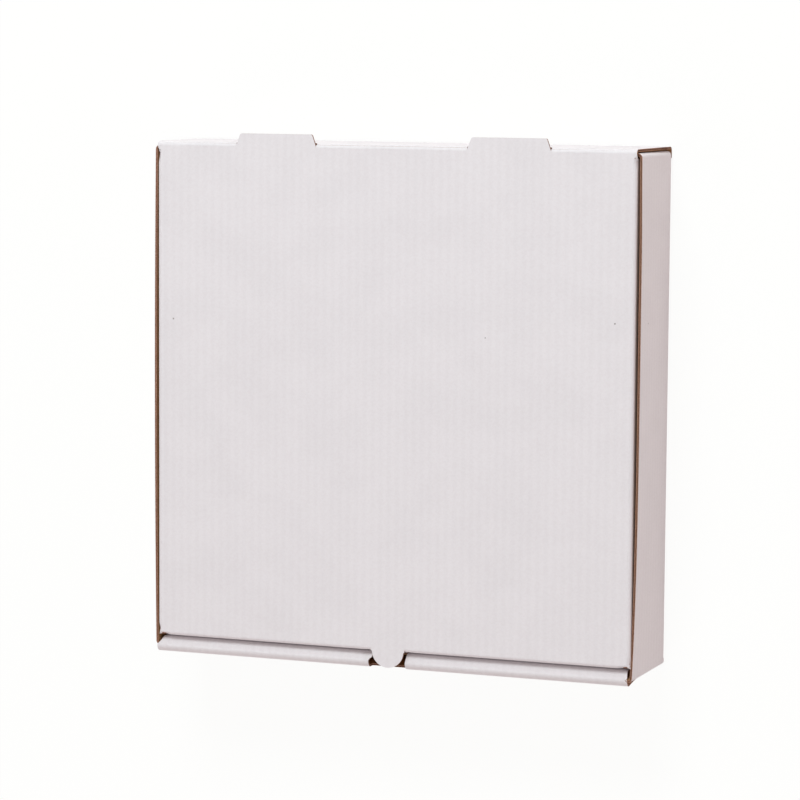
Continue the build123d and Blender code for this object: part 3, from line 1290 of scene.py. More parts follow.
@dataclass
class Tray:
    """The folded tray: base, side walls, ears, rear wall and rolled front."""

    sizes: BoxSizes
    # How the side walls stand. A zone gives how far off the box's middle a change begins,
    # towards the front or the right, and over what length it comes
    wall_bow: float = 0.56  # how far the left wall's raw edge bellies out halfway along
    left_lean: float = 0.85  # how far its front corner follows the roll forward
    left_lean_zone: Point2 = (88.0, 9.0)
    right_bow: float = 0.35  # how far the right wall's raw edge stands out
    right_bow_fade: float = 40.0  # length over which it comes back in at the rear corner
    right_pinch: float = 1.5  # how far it is drawn in at the front corner
    right_pinch_zone: Point2 = (-40.0, 140.0)
    right_pinch_power: int = 4
    right_lean: float = 0.45
    right_lean_zone: Point2 = (92.0, 7.0)
    right_wall_zone: Point2 = (90.0, 8.0)  # where the ears turn into the wall
    # The corners and the ears behind them
    corner_inset: float = 0.2  # rear wall's foot, inside the side walls' outer faces
    corner_step: float = 0.9  # left front crease's stretch as high as the side wall
    corner_reach: float = 1.25  # right front corner's face in front of the ears'
    corner_slant: float = 60.0  # degrees off the front
    corner_foot: float = 0.9  # lower edge of the right front corner
    tight_crease: float = 0.1
    ear_length: float = 28.0
    ear_taper: float = 2.0
    ear_rounding: float = 4.0
    # The rolled front
    roll_splay: float = 2.198  # how much further forward its top stands than its foot
    roll_pull: float = 0.55  # inner panel's place in front of where it is cut to stand
    shoulder_radius: float = 2.9
    inner_crease_radius: float = 2.1
    ledge_fall: float = 0.4
    ledge_ease: float = 1.3  # length over which the ledge falls most of its way
    roll_inset_left: float = 0.4
    roll_inset_right: float = 3.2
    mitre_start: float = 0.9
    notch_left: float = 8.9
    notch_right: float = 6.6
    notch_inner: float = 7.1
    notch_depth: float = 4.2
    notch_rounding: float = 1.0
    notch_slant_rounding: float = 1.2
    tongue_width: float = 26.0
    tongue_offset: float = 50.0
    tongue_recess: float = 0.3
    slot_clearance: float = 0.2
    vent_clearance: float = 0.3
    base_front: float = -90.0
    # Spacing of the meshes' points
    wide_grid: float = 6.0
    roll_grid: float = 5.0
    grid: float = 4.0
    corner_grid: float = 1.2
    mitre_grid: float = 0.5
    ridge_grid: float = 0.2

    @property
    def corner_y(self) -> float:
        """Where the right front corner's crease begins, as a distance from the middle."""
        s = self.sizes
        return s.ear_y + self.corner_reach - s.board.thickness - self.tight_crease

    @property
    def right_end(self) -> float:
        """Where the right side wall meets that crease."""
        return self.corner_y - self.sizes.board.crease_land

    def lean(self, x: float, y: float, z: float) -> Vector:
        """Moves a point of a side wall or an ear from its even place to where it really stands.

        Args:
            x: the point's place on a straight wall.
            y: its place from front to rear.
            z: its height.

        Returns:
            The point on a left wall that bellies out and leans forward with the roll, or on a
            right wall that leans out and is drawn in more and more towards its front corner.
        """
        s = self.sizes
        foot = s.board.outer_radius + s.board.crease_land
        share = max(0.0, (z - foot) / (s.wall_top - foot))
        belly = max(0.0, 1 - (y / s.wall_end) ** 2)
        if x < 0:
            forward = eased(-y, self.left_lean_zone) * self.left_lean
            return Vector((x - self.wall_bow * belly * share, y - forward * share, z))
        start, run = self.right_pinch_zone
        pinched = (max(0.0, -start - y) / run) ** self.right_pinch_power
        inward = self.right_pinch * pinched - self.right_bow
        inward *= smooth((s.ear_y - y) / self.right_bow_fade)
        near_wall = eased(x, self.right_wall_zone)
        forward = eased(-y, self.right_lean_zone) * self.right_lean * near_wall
        return Vector((x - inward * share * near_wall, y - forward * share, z))

    def walls(self) -> Sheet:
        """Folds the base panel and the two side walls.

        Returns:
            The sheet, with its flutes running from front to rear.
        """
        s, b = self.sizes, self.sizes.board
        mid_x = s.side_x - b.half
        ends = ((-mid_x, s.wall_top), (-mid_x, b.half), (mid_x, b.half), (mid_x, s.wall_top))
        path = FoldPath(ends, (b.mid_radius,) * 2)
        flat_from, flat_to = path.runs[2].begins, path.runs[3].begins
        end, cut, right_end = s.wall_end, self.base_front, self.right_end

        def place(u: float, v: float) -> Vector:
            """Gives where a flat point comes to lie."""
            x, z = path.at(u)
            return self.lean(x, v, z)

        def rim(u: float, v: float) -> Rim:
            """Tells what closes the border at a flat point.

            Args:
                u: first coordinate of the flat point.
                v: its second coordinate.

            Returns:
                What closes the border there.
            """
            front = -end if u < path.length / 2 else -right_end
            if front + ON_LINE < v < end - ON_LINE:
                at_top = u < ON_LINE or u > path.length - ON_LINE
                return Rim.CUT if at_top else Rim.JOINED
            in_crease = any(
                r.begins < u < r.begins + r.length for r in path.runs if r.curvature
            )
            return Rim.PRESSED if in_crease else Rim.JOINED

        outline = [
            (0.0, -end),
            (flat_from, -end),
            (flat_from, cut),
            (flat_to, cut),
            (flat_to, -right_end),
            (path.length, -right_end),
            (path.length, end),
            (0.0, end),
        ]
        in_front = spread(-right_end, cut, self.corner_grid)
        rows_v = sorted({*in_front, *spread(cut, end, self.wide_grid)})
        faces = ((path.length / 2, 0.0), (0, 0, -1))
        return Sheet(outline, place, path.stops(self.wide_grid), rows_v, faces, rim)

    def ear_path(self, side: int, end: int) -> tuple[FoldPath, float, float]:
        """Lays out a corner crease and its ear, seen from above.

        Args:
            side: 1 for the right side wall, -1 for the left.
            end: 1 for the rear, -1 for the front.

        Returns:
            The middle of the board from the side wall to the ear's free end, how far along it
            the ear itself begins, and how far along it stays as high as the side wall.
        """
        s, b = self.sizes, self.sizes.board
        mid_x, mid_y = side * (s.side_x - b.half), end * (s.ear_y - b.half)
        free = side * (s.side_x - self.ear_length)
        if side < 0 or end > 0:
            path = FoldPath(
                ((mid_x, end * s.wall_end), (mid_x, mid_y), (free, mid_y)), (b.mid_radius,)
            )
            ear_from = path.runs[2].begins + b.crease_land
            high = ear_from if end > 0 else path.runs[1].begins + self.corner_step
            return path, ear_from, high
        # Beside the roll's square end: round the corner and back at a slant
        radius = self.tight_crease + b.half
        turn = math.radians(self.corner_slant)
        start = self.corner_y + radius * math.tan((math.pi / 2 + turn) / 2)
        slant_end = mid_x - (start + mid_y) / math.tan(turn)
        path = FoldPath(
            ((mid_x, -self.right_end), (mid_x, -start), (slant_end, mid_y), (free, mid_y)),
            (radius, b.mid_radius),
        )
        roll_end = s.side_x - self.roll_inset_right + b.layer_gap + b.half
        high = path.find(0, roll_end, path.runs[1].begins, path.runs[3].begins)
        return path, path.runs[4].begins + b.crease_land, high

    def ear(self, side: int, end: int) -> Sheet:
        """Folds a corner crease and its ear.

        Args:
            side: 1 for the right side wall, -1 for the left.
            end: 1 for the rear, -1 for the front.

        Returns:
            The sheet, with its flutes lying level.
        """
        s, b = self.sizes, self.sizes.board
        path, ear_from, high = self.ear_path(side, end)
        foot, top, long = b.outer_radius, s.wall_top, path.length
        slope = self.ear_taper / (long - ear_from)
        outline = [(0.0, foot), (ear_from, foot), (long, foot + self.ear_taper)]
        if side > 0 > end:
            # The slanted corner reaches further down than the ear behind it
            outline[:1] = [(0.0, self.corner_foot), (high, self.corner_foot), (high, foot)]
        outline.append((long, top - self.ear_taper))
        if end > 0:
            outline.append((ear_from, top))
        else:
            # In front the ear lies under the ledge
            roof = top - b.thickness - b.layer_gap
            outline += [(ear_from + (top - roof) / slope, roof), (high, roof), (high, top)]
        outline.append((0.0, top))
        k = outline.index((long, foot + self.ear_taper))
        outline = rounded(outline, {k: self.ear_rounding, k + 1: self.ear_rounding})

        def place(u: float, v: float) -> Vector:
            """Gives where a flat point comes to lie."""
            x, y = path.at(u)
            return self.lean(x, y, v)

        def rim(u: float, v: float) -> Rim:
            """Tells what closes the border at a flat point."""
            return Rim.JOINED if u < ON_LINE else Rim.CUT

        rows_v = spread(foot, top, self.grid)
        faces = ((0.0, s.inside_height / 2), (side, 0, 0))
        return Sheet(outline, place, path.stops(self.grid), rows_v, faces, rim, across_u=False)

    def rear(self) -> Sheet:
        """Folds the rear wall, up to the middle of the rear crease.

        Returns:
            The sheet, with a window below each vent tab.
        """
        s, b = self.sizes, self.sizes.board
        path = s.rear_bend()
        hinge = path.runs[3].begins + path.runs[3].length / 2
        foot_half = s.side_x - self.corner_inset
        taper = (foot_half - s.lid_half) / (s.lid_top - b.outer_radius)
        hinge_z = s.lid_top - s.bend_drop
        drop = s.bend_drop + s.vent_tab_reach
        swing = math.hypot(drop, hinge_z - s.inside_height - b.thickness)
        low_wall, high_wall = 5.0, 20.0  # on the path: above the base crease, and halfway up
        sill = path.find(1, hinge_z - swing - self.vent_clearance, low_wall, hinge)
        low = s.vent_tab_tip / 2 + self.vent_clearance
        high = s.vent_tab_width / 2 + self.vent_clearance
        top_half = foot_half - taper * (path.at(hinge)[1] - b.outer_radius)
        upright = path.find(1, b.outer_radius, path.runs[1].begins, high_wall)
        outline = [
            (-foot_half, 0.0),
            (foot_half, 0.0),
            (foot_half, upright),
            (top_half, hinge),
        ]
        for centre in (s.vent_tab_offset, -s.vent_tab_offset):
            outline += [
                (centre + high, hinge),
                (centre + low, sill),
                (centre - low, sill),
                (centre - high, hinge),
            ]
        outline += [(-top_half, hinge), (-foot_half, upright)]

        def place(u: float, v: float) -> Vector:
            """Gives where a flat point comes to lie."""
            y, z = path.at(v)
            return Vector((u, y, z))

        def rim(u: float, v: float) -> Rim:
            """Tells what closes the border at a flat point.

            Args:
                u: first coordinate of the flat point.
                v: its second coordinate.

            Returns:
                What closes the border there.
            """
            if v < ON_LINE:
                joined = abs(u) < s.side_x - b.outer_radius
                return Rim.JOINED if joined else Rim.CUT
            return Rim.PRESSED if v > hinge - ON_LINE else Rim.CUT

        least_row = 0.05
        rows_v = [r for r in path.stops(self.grid) if r < hinge - least_row] + [hinge]
        rows_u = spread(-foot_half, foot_half, self.wide_grid)
        faces = ((0.0, high_wall), (0, 1, 0))
        return Sheet(outline, place, rows_u, rows_v, faces, rim)

    def roll(self) -> Sheet:
        """Folds the rolled front, from the base over the ledge down to the tongues.

        Returns:
            The sheet, with the finger notch and the tongues' slots as its holes.
        """
        s, b = self.sizes, self.sizes.board
        h, top = b.half, s.wall_top - b.half
        front, inner = s.front_y + h, s.roll_inner_y - h - self.roll_pull
        path = FoldPath(
            (
                (self.base_front, h),
                (front, h),
                (front - self.roll_splay, top),
                (inner, top),
                (inner, self.tongue_recess),
            ),
            (b.mid_radius, self.shoulder_radius - h, self.inner_crease_radius - h),
        )
        foot, rise = path.runs[2].begins, path.runs[3].begins
        over = path.runs[6].begins
        left, right = s.side_x - self.roll_inset_left, s.side_x - self.roll_inset_right
        mitre_y = s.front_y + self.mitre_start
        widen = self.base_front + s.wall_end
        narrow_right = self.base_front + self.right_end
        fold_half = s.side_x - b.outer_radius
        panel_foot = path.find(1, b.thickness + b.layer_gap, over, path.length)

        def ledge(y: float) -> float:
            """Finds the ledge's place from front to rear on the path."""
            return path.find(0, y, rise, over)

        outline: list[Point2] = [
            (-fold_half, 0.0),
            (fold_half, 0.0),
            (fold_half, narrow_right),
            (right, narrow_right),
            (right, panel_foot),
        ]
        half = self.tongue_width / 2
        for centre in (self.tongue_offset, -self.tongue_offset):
            outline += [
                (centre + half, panel_foot),
                (centre + half, path.length),
                (centre - half, path.length),
                (centre - half, panel_foot),
            ]
        mitre_end = left - (inner - mitre_y)
        outline.append((-mitre_end, panel_foot))
        for y in spread(mitre_y, inner, self.mitre_grid)[::-1]:
            outline.append((-left + (y - mitre_y), ledge(y)))
        outline += [(-left, widen), (-fold_half, widen)]

        sill = s.wall_top - self.notch_depth
        low, high = path.find(1, sill, foot, rise), path.find(1, sill, over, path.length)
        narrow = s.roll_inner_y - b.outer_radius
        slant = mitre_y + self.notch_left - self.notch_inner
        notch = [
            (-self.notch_left, low),
            (self.notch_right, low),
            (self.notch_right, ledge(mitre_y)),
            (self.notch_inner, ledge(narrow)),
            (self.notch_inner, high),
            (-self.notch_inner, high),
            (-self.notch_inner, ledge(slant)),
            (-self.notch_left, ledge(mitre_y)),
        ]
        roundings = dict.fromkeys((0, 1, 4, 5), self.notch_rounding)
        roundings |= dict.fromkeys((6, 7), self.notch_slant_rounding)
        holes = [rounded(notch, roundings)]
        reach = half + self.slot_clearance
        near = self.base_front - inner - h - self.slot_clearance
        far = near + b.thickness + 2 * self.slot_clearance
        for centre in (self.tongue_offset, -self.tongue_offset):
            low_x, high_x = centre - reach, centre + reach
            holes.append([(low_x, near), (high_x, near), (high_x, far), (low_x, far)])

        ridge = path.runs[4].begins
        shoulder_z = path.at(rise)[1]

        def place(u: float, v: float) -> Vector:
            """Gives where a flat point comes to lie.

            Args:
                u: first coordinate of the flat point.
                v: its second coordinate.

            Returns:
                The middle of the folded board there.
            """
            y, z = path.at(v)
            if v < rise:
                # The front panel bows, upright at its foot and leaning out at its shoulder
                up = min(1.0, max(0.0, z - h) / (shoulder_z - h))
                return Vector((u, y + self.roll_splay * (up - up**3), z))
            # The ledge falls towards the lid from its scored ridge, at first more steeply
            behind = max(0.0, v - ridge + self.ridge_grid / 2)
            ease = 1 - math.exp(-behind / self.ledge_ease)
            return Vector((u, y, z - self.ledge_fall * ease * z / s.wall_top))

        def rim(u: float, v: float) -> Rim:
            """Tells what closes the border at a flat point.

            Args:
                u: first coordinate of the flat point.
                v: its second coordinate.

            Returns:
                What closes the border there.
            """
            end = widen if u < 0 else narrow_right
            beside_base = v < end - ON_LINE and abs(abs(u) - fold_half) < ON_LINE
            return Rim.JOINED if v < ON_LINE or beside_base else Rim.CUT

        rows_u = spread(-left, left, self.roll_grid)
        ridge_rows = 11
        over_ridge = (ridge + k * self.ridge_grid for k in range(1, ridge_rows + 1))
        rows_v = sorted({*path.stops(self.grid), *over_ridge})
        beside_notch, above_foot = 30.0, 15.0
        faces = ((beside_notch, foot + above_foot), (0, -1, 0))
        return Sheet(outline, place, rows_u, rows_v, faces, rim, holes=holes)

    def build(self) -> list[bpy.types.Object]:
        """Makes the tray's pieces and lets them ride on the tray.

        Returns:
            The pieces; the first one stands for the tray's solid.
        """
        board = self.sizes.board
        groups = {
            "tray_base_and_side_walls": [self.walls()],
            "tray_corner_ears": [self.ear(x, y) for x in (-1, 1) for y in (-1, 1)],
            "tray_rear_wall": [self.rear()],
            "tray_rolled_front": [self.roll()],
        }
        return dress(board, groups, "tray", "tray_cut_flutes")


@dataclass
class Lid:
    """The lid: its panel with the tabs, and its three tuck flaps."""

    sizes: BoxSizes
    side_flap_depth: float = 32.0
    side_flap_front_taper: float = 10.0
    side_flap_rear_taper: float = 6.0
    front_flap_depth: float = 28.0
    front_flap_lean: float = 9.0  # degrees inward
    front_flap_taper: float = 6.0
    flap_rounding: float = 5.0
    vent_tab_rounding: float = 0.8
    sag: float = 0.22
    crease: float = 0.05  # inside radius of the hard-scored side and front creases
    mitre_reach: float = 3.0  # how far from a front corner the liners slide to their mitre
    # Spacing of the meshes' points
    grid: float = 5.0
    flap_grid: float = 4.0
    strip_grid: float = 3.0
    tab_grid: float = 2.0
    tab_zone: float = 8.0  # half of the width about the thumb tab that is meshed finer
    mitre_grid: float = 0.3

    @property
    def outer_radius(self) -> float:
        """Outside radius of the side and front creases, which are scored hard."""
        return self.sizes.board.thickness + self.crease

    @property
    def mid_radius(self) -> float:
        """Radius of those creases at the middle of the board."""
        return self.crease + self.sizes.board.half

    @property
    def flat_half(self) -> float:
        """Where the side creases begin."""
        return self.sizes.lid_half - self.outer_radius

    @property
    def flat_front(self) -> float:
        """Where the front crease begins."""
        return self.sizes.lid_front + self.outer_radius

    @property
    def flat_rear(self) -> float:
        """Where the rear crease begins."""
        return self.sizes.rear_y - self.sizes.board.outer_radius

    @property
    def side_flap_rear(self) -> float:
        """Where the side flaps' creases end, in front of the rear ears."""
        return self.sizes.ear_y - self.sizes.board.thickness - self.sizes.flap_gap

    @property
    def crease_end(self) -> float:
        """Height at which a flap's crease zone ends."""
        return self.sizes.lid_top - self.outer_radius - self.sizes.board.crease_land

    @property
    def rows_u(self) -> list[float]:
        """Rows of points from left to right, denser about the thumb tab.

        Returns:
            The rows' places, from the left.
        """
        half, zone = self.sizes.lid_half, self.tab_zone
        wide, dense = spread(-half, half, self.grid), spread(-zone, zone, self.tab_grid)
        return sorted({*wide, *dense})

    def mitre_share(self, away: float) -> float:
        """Gives how much of the mitre's slant is left at a distance from the mitre."""
        return max(0.0, 1 - max(0.0, away) / self.mitre_reach)

    def warp(self, x: float, y: float, z: float) -> Vector:
        """Sinks a point of the lid a little where the board isn't flat.

        Args:
            x: the point's place from left to right.
            y: its place from front to rear.
            z: its height on a flat lid.

        Returns:
            The point on the lid as it lies.
        """
        u, v = x / self.sizes.lid_half, y / self.sizes.rear_y
        # Slow waves of uneven length, so that no two places sink alike
        hollow = (1 - u * u) * (0.55 + 0.45 * math.cos(2.1 * v - 0.7))
        ripple = 0.5 + 0.5 * math.sin(2.7 * u + 1.3) * math.cos(3.1 * v + 0.4)
        waves = 0.3 * ripple * (1 - v * v) * (1 - u**4)
        depth = self.sag * (0.7 * max(0.0, hollow) + waves)
        return Vector((x, y, z - max(0.0, depth)))

    def panel(self) -> Sheet:
        """Cuts the flat panel with the thumb tab and the two vent tabs.

        Returns:
            The sheet, with its flutes running from front to rear.
        """
        s, b = self.sizes, self.sizes.board
        root = s.thumb_half_width + s.thumb_root
        neck = s.lid_front - s.thumb_root
        tip = arc_through(
            (-s.thumb_half_width, neck),
            (0.0, s.lid_front - s.thumb_reach),
            (s.thumb_half_width, neck),
        )
        k = math.sin(math.pi / 4) * s.thumb_root
        over = (-root + k, neck + k)
        left_root = arc_through((-root, s.lid_front), over, (-s.thumb_half_width, neck), 6)
        thumb = left_root[:-1] + tip + [(-x, y) for x, y in left_root[:-1]][::-1]
        outline: list[Point2] = [
            (-self.flat_half, self.flat_front),
            (-root, self.flat_front),
            *thumb,
            (root, self.flat_front),
            (self.flat_half, self.flat_front),
            (self.flat_half, self.side_flap_rear),
            (s.lid_half, self.side_flap_rear),
            (s.lid_half, self.flat_rear),
        ]
        for centre in (s.vent_tab_offset, -s.vent_tab_offset):
            outline += self.vent_tab(centre)
        outline += [
            (-s.lid_half, self.flat_rear),
            (-s.lid_half, self.side_flap_rear),
            (-self.flat_half, self.side_flap_rear),
        ]

        def place(u: float, v: float) -> Vector:
            """Gives where a flat point comes to lie.

            Args:
                u: first coordinate of the flat point.
                v: its second coordinate.

            Returns:
                The middle of the folded board there.
            """
            # Behind the side flaps the edge comes up from their creases to the rear crease
            flat = self.warp(u, v, s.lid_top - b.half)
            out = abs(u) - self.flat_half
            if out <= 0:
                return flat
            turn = out / self.outer_radius * math.pi / 2
            x = math.copysign(self.flat_half + self.mid_radius * math.sin(turn), u)
            drop = self.mid_radius * (1 - math.cos(turn))
            back = smooth((v - self.side_flap_rear) / (self.flat_rear - self.side_flap_rear))
            return self.warp(x, v, s.lid_top - b.half - drop).lerp(flat, back)

        def rim(u: float, v: float) -> Rim:
            """Tells what closes the border at a flat point.

            Args:
                u: first coordinate of the flat point.
                v: its second coordinate.

            Returns:
                What closes the border there.
            """
            if abs(v - self.flat_front) < ON_LINE:
                return Rim.JOINED
            if abs(abs(u) - self.flat_half) < ON_LINE and v < self.side_flap_rear:
                return Rim.JOINED
            if abs(v - self.side_flap_rear) < ON_LINE:
                return Rim.JOINED
            on_tab = abs(abs(u) - s.vent_tab_offset) < s.vent_tab_width / 2
            if abs(v - self.flat_rear) < ON_LINE and not on_tab:
                return Rim.JOINED
            return Rim.CUT

        rows_v = spread(self.flat_front, self.flat_rear, self.grid)
        return Sheet(outline, place, self.rows_u, rows_v, ((0.0, 0.0), (0, 0, 1)), rim)

    def vent_tab(self, centre: float) -> list[Point2]:
        """Gives a vent tab's outline with small rounded tips.

        Args:
            centre: the tab's middle, from left to right.

        Returns:
            The outline's points from right to left.
        """
        s = self.sizes
        wide, narrow = s.vent_tab_width / 2, s.vent_tab_tip / 2
        side = self.flat_rear + s.bend_drop
        tip = s.rear_y + s.vent_tab_reach
        corners = [
            (centre + wide, self.flat_rear),
            (centre + wide, side),
            (centre + narrow, tip),
            (centre - narrow, tip),
            (centre - wide, side),
            (centre - wide, self.flat_rear),
        ]
        return rounded(corners, dict.fromkeys((2, 3), self.vent_tab_rounding), 4)

    def rear_strip(self, low: float, high: float) -> Sheet:
        """Folds a stretch of the lid's half of the rear crease.

        Args:
            low: its left end.
            high: its right end.

        Returns:
            The sheet, pressed flat where it meets the tray's half.
        """
        s, b = self.sizes, self.sizes.board
        top, back = s.lid_top - b.half, s.rear_y - b.half
        path = FoldPath(((self.flat_rear, top), (back, top), (back, b.half)), (b.mid_radius,))
        end = path.runs[1].begins + path.runs[1].length / 2

        def place(u: float, v: float) -> Vector:
            """Gives where a flat point comes to lie."""
            y, z = path.at(v)
            return self.warp(u, y, z)

        def rim(u: float, v: float) -> Rim:
            """Tells what closes the border at a flat point."""
            return Rim.JOINED if v < ON_LINE else Rim.PRESSED

        stops = path.stops(self.strip_grid, 8)
        rows_v = [r for r in stops if r < end - POINT_GAP] + [end]
        outline = [(low, 0.0), (high, 0.0), (high, end), (low, end)]
        rows_u = spread(low, high, self.grid)
        faces = (((low + high) / 2, 0.0), (0, 0, 1))
        return Sheet(outline, place, rows_u, rows_v, faces, rim)

    def front_flap(self) -> Sheet:
        """Folds the front crease and the front flap, with the hole left by the thumb tab.

        Returns:
            The sheet, with its flutes running up and down.
        """
        s, b = self.sizes, self.sizes.board
        top = s.lid_top - b.half
        slope = math.radians(self.front_flap_lean)
        corner = self.flat_front - self.mid_radius * math.tan(math.pi / 4 + slope / 2)
        bottom = (corner + self.front_flap_depth * math.tan(slope), top - self.front_flap_depth)
        path = FoldPath(((self.flat_front, top), (corner, top), bottom), (self.mid_radius,))
        bend = path.runs[2].begins
        land = path.find(1, self.crease_end, bend, path.length)
        half = s.lid_half - b.thickness - s.flap_gap
        root = s.thumb_half_width + s.thumb_root
        used = s.thumb_reach + self.outer_radius - self.mid_radius * math.pi / 2
        hole_low = path.find(1, s.lid_top - self.outer_radius - used, bend, path.length)
        rows = (*spread(0, bend, self.mitre_grid), land)
        mitre = [(s.lid_half - (path.at(r)[0] - s.lid_front), r) for r in rows]
        hole = arc_through((root, land), (0.0, hole_low), (-root, land))
        outline: list[Point2] = [
            (half - self.front_flap_taper, path.length),
            (half, land),
            *mitre[::-1],
            (root, 0.0),
            *hole,
            (-root, 0.0),
            *[(-x, r) for x, r in mitre],
            (-half, land),
            (self.front_flap_taper - half, path.length),
        ]
        count = len(outline)
        outline = rounded(outline, {0: self.flap_rounding, count - 1: self.flap_rounding})[::-1]

        def place(u: float, v: float) -> Vector:
            """Gives where a flat point comes to lie."""
            y, z = path.at(v)
            return self.warp(u, y, z)

        def rim(u: float, v: float) -> Rim:
            """Tells what closes the border at a flat point.

            Args:
                u: first coordinate of the flat point.
                v: its second coordinate.

            Returns:
                What closes the border there.
            """
            if v < ON_LINE:
                return Rim.JOINED
            return Rim.PRESSED if v < land and abs(u) > half + ON_LINE else Rim.CUT

        def slant(u: float, v: float, n: Vector) -> Vector:
            """Slides the liners towards the mitre with the next flap."""
            away = s.lid_half - (path.at(v)[0] - s.lid_front) - abs(u)
            return Vector((math.copysign(abs(n.y), u) * self.mitre_share(away), 0, 0))

        rows_v = path.stops(self.flap_grid)
        beside_hole = 30.0
        faces = ((beside_hole, path.length / 2), (0, -1, 0))
        return Sheet(outline, place, self.rows_u, rows_v, faces, rim, slant=slant)

    def side_flap(self, side: int) -> Sheet:
        """Folds a side crease and its flap.

        Args:
            side: 1 for the right flap, -1 for the left.

        Returns:
            The sheet, with its flutes lying level.
        """
        s, b = self.sizes, self.sizes.board
        top, mid_x = s.lid_top - b.half, s.lid_half - b.half
        path = FoldPath(
            (
                (side * self.flat_half, top),
                (side * mid_x, top),
                (side * mid_x, s.lid_top - self.side_flap_depth),
            ),
            (self.mid_radius,),
        )
        bend = path.runs[2].begins
        land = path.find(1, self.crease_end, bend, path.length)
        rows = (*spread(0, bend, self.mitre_grid), land)
        mitre = [(r, s.lid_front + s.lid_half - abs(path.at(r)[0])) for r in rows]
        outline: list[Point2] = [
            *mitre,
            (land, self.flat_front),
            (path.length, self.flat_front + self.side_flap_front_taper),
            (path.length, self.side_flap_rear - self.side_flap_rear_taper),
            (land, self.side_flap_rear),
            (0.0, self.side_flap_rear),
        ]
        k = len(mitre)
        outline = rounded(outline, dict.fromkeys((k + 1, k + 2), self.flap_rounding))

        def place(u: float, v: float) -> Vector:
            """Gives where a flat point comes to lie."""
            x, z = path.at(u)
            return self.warp(x, v, z)

        def rim(u: float, v: float) -> Rim:
            """Tells what closes the border at a flat point.

            Args:
                u: first coordinate of the flat point.
                v: its second coordinate.

            Returns:
                What closes the border there.
            """
            if u < ON_LINE or (u < bend and v > self.side_flap_rear - ON_LINE):
                return Rim.JOINED
            on_mitre = u < land and v < self.flat_front - ON_LINE
            return Rim.PRESSED if on_mitre else Rim.CUT

        def slant(u: float, v: float, n: Vector) -> Vector:
            """Slides the liners towards the mitre with the next flap.

            Args:
                u: first coordinate of the flat point.
                v: its second coordinate.
                n: the direction that the white liner faces there.

            Returns:
                The slide per way off the middle of the board.
            """
            away = v - (s.lid_front + s.lid_half - abs(path.at(u)[0]))
            near = self.mitre_share(away) if u < land + ON_LINE else 0.0
            return Vector((0, -abs(n.x) * near, 0))

        rows_u = path.stops(self.flap_grid)
        rows_v = spread(s.lid_front, self.side_flap_rear, self.grid)
        faces = ((path.length / 2, 0.0), (side, 0, 0))
        return Sheet(outline, place, rows_u, rows_v, faces, rim, slant=slant)

    def build(self) -> list[bpy.types.Object]:
        """Makes the lid's pieces and lets them ride on the lid.

        Returns:
            The pieces; the first one stands for the lid's solid.
        """
        s = self.sizes
        inner, outer = (s.vent_tab_offset + k * s.vent_tab_width / 2 for k in (-1, 1))
        strips = ((-s.lid_half, -outer), (-inner, inner), (outer, s.lid_half))
        groups = {
            "lid_panel": [self.panel(), *(self.rear_strip(a, z) for a, z in strips)],
            "lid_front_flap": [self.front_flap()],
            "lid_side_flaps": [self.side_flap(-1), self.side_flap(1)],
        }
        return dress(s.board, groups, "lid", "lid_cut_flutes")


def dress(
    board: Board, groups: dict[str, list[Sheet]], body: str, flutes: str
) -> list[bpy.types.Object]:
    """Folds groups of sheets into pieces that ride on one body.

    Args:
        board: what the sheets are cut from.
        groups: piece name to its sheets.
        body: the body's name, which is its solid's name too.
        flutes: name of the piece with the flutes in the cut edges.

    Returns:
        The pieces; the first one stands for the body's solid.
    """
    pieces: list[bpy.types.Object] = []
    folders: list[Folder] = []
    for name, sheets in groups.items():
        folder = Folder(board)
        for sheet in sheets:
            folder.add(sheet)
        folders.append(folder)
        pieces.append(folder.piece(name))
    pieces.append(Corrugator(board).press(flutes, folders))
    for piece in pieces:
        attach(piece, body)
    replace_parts(pieces[0], body)
    return pieces


# Studio


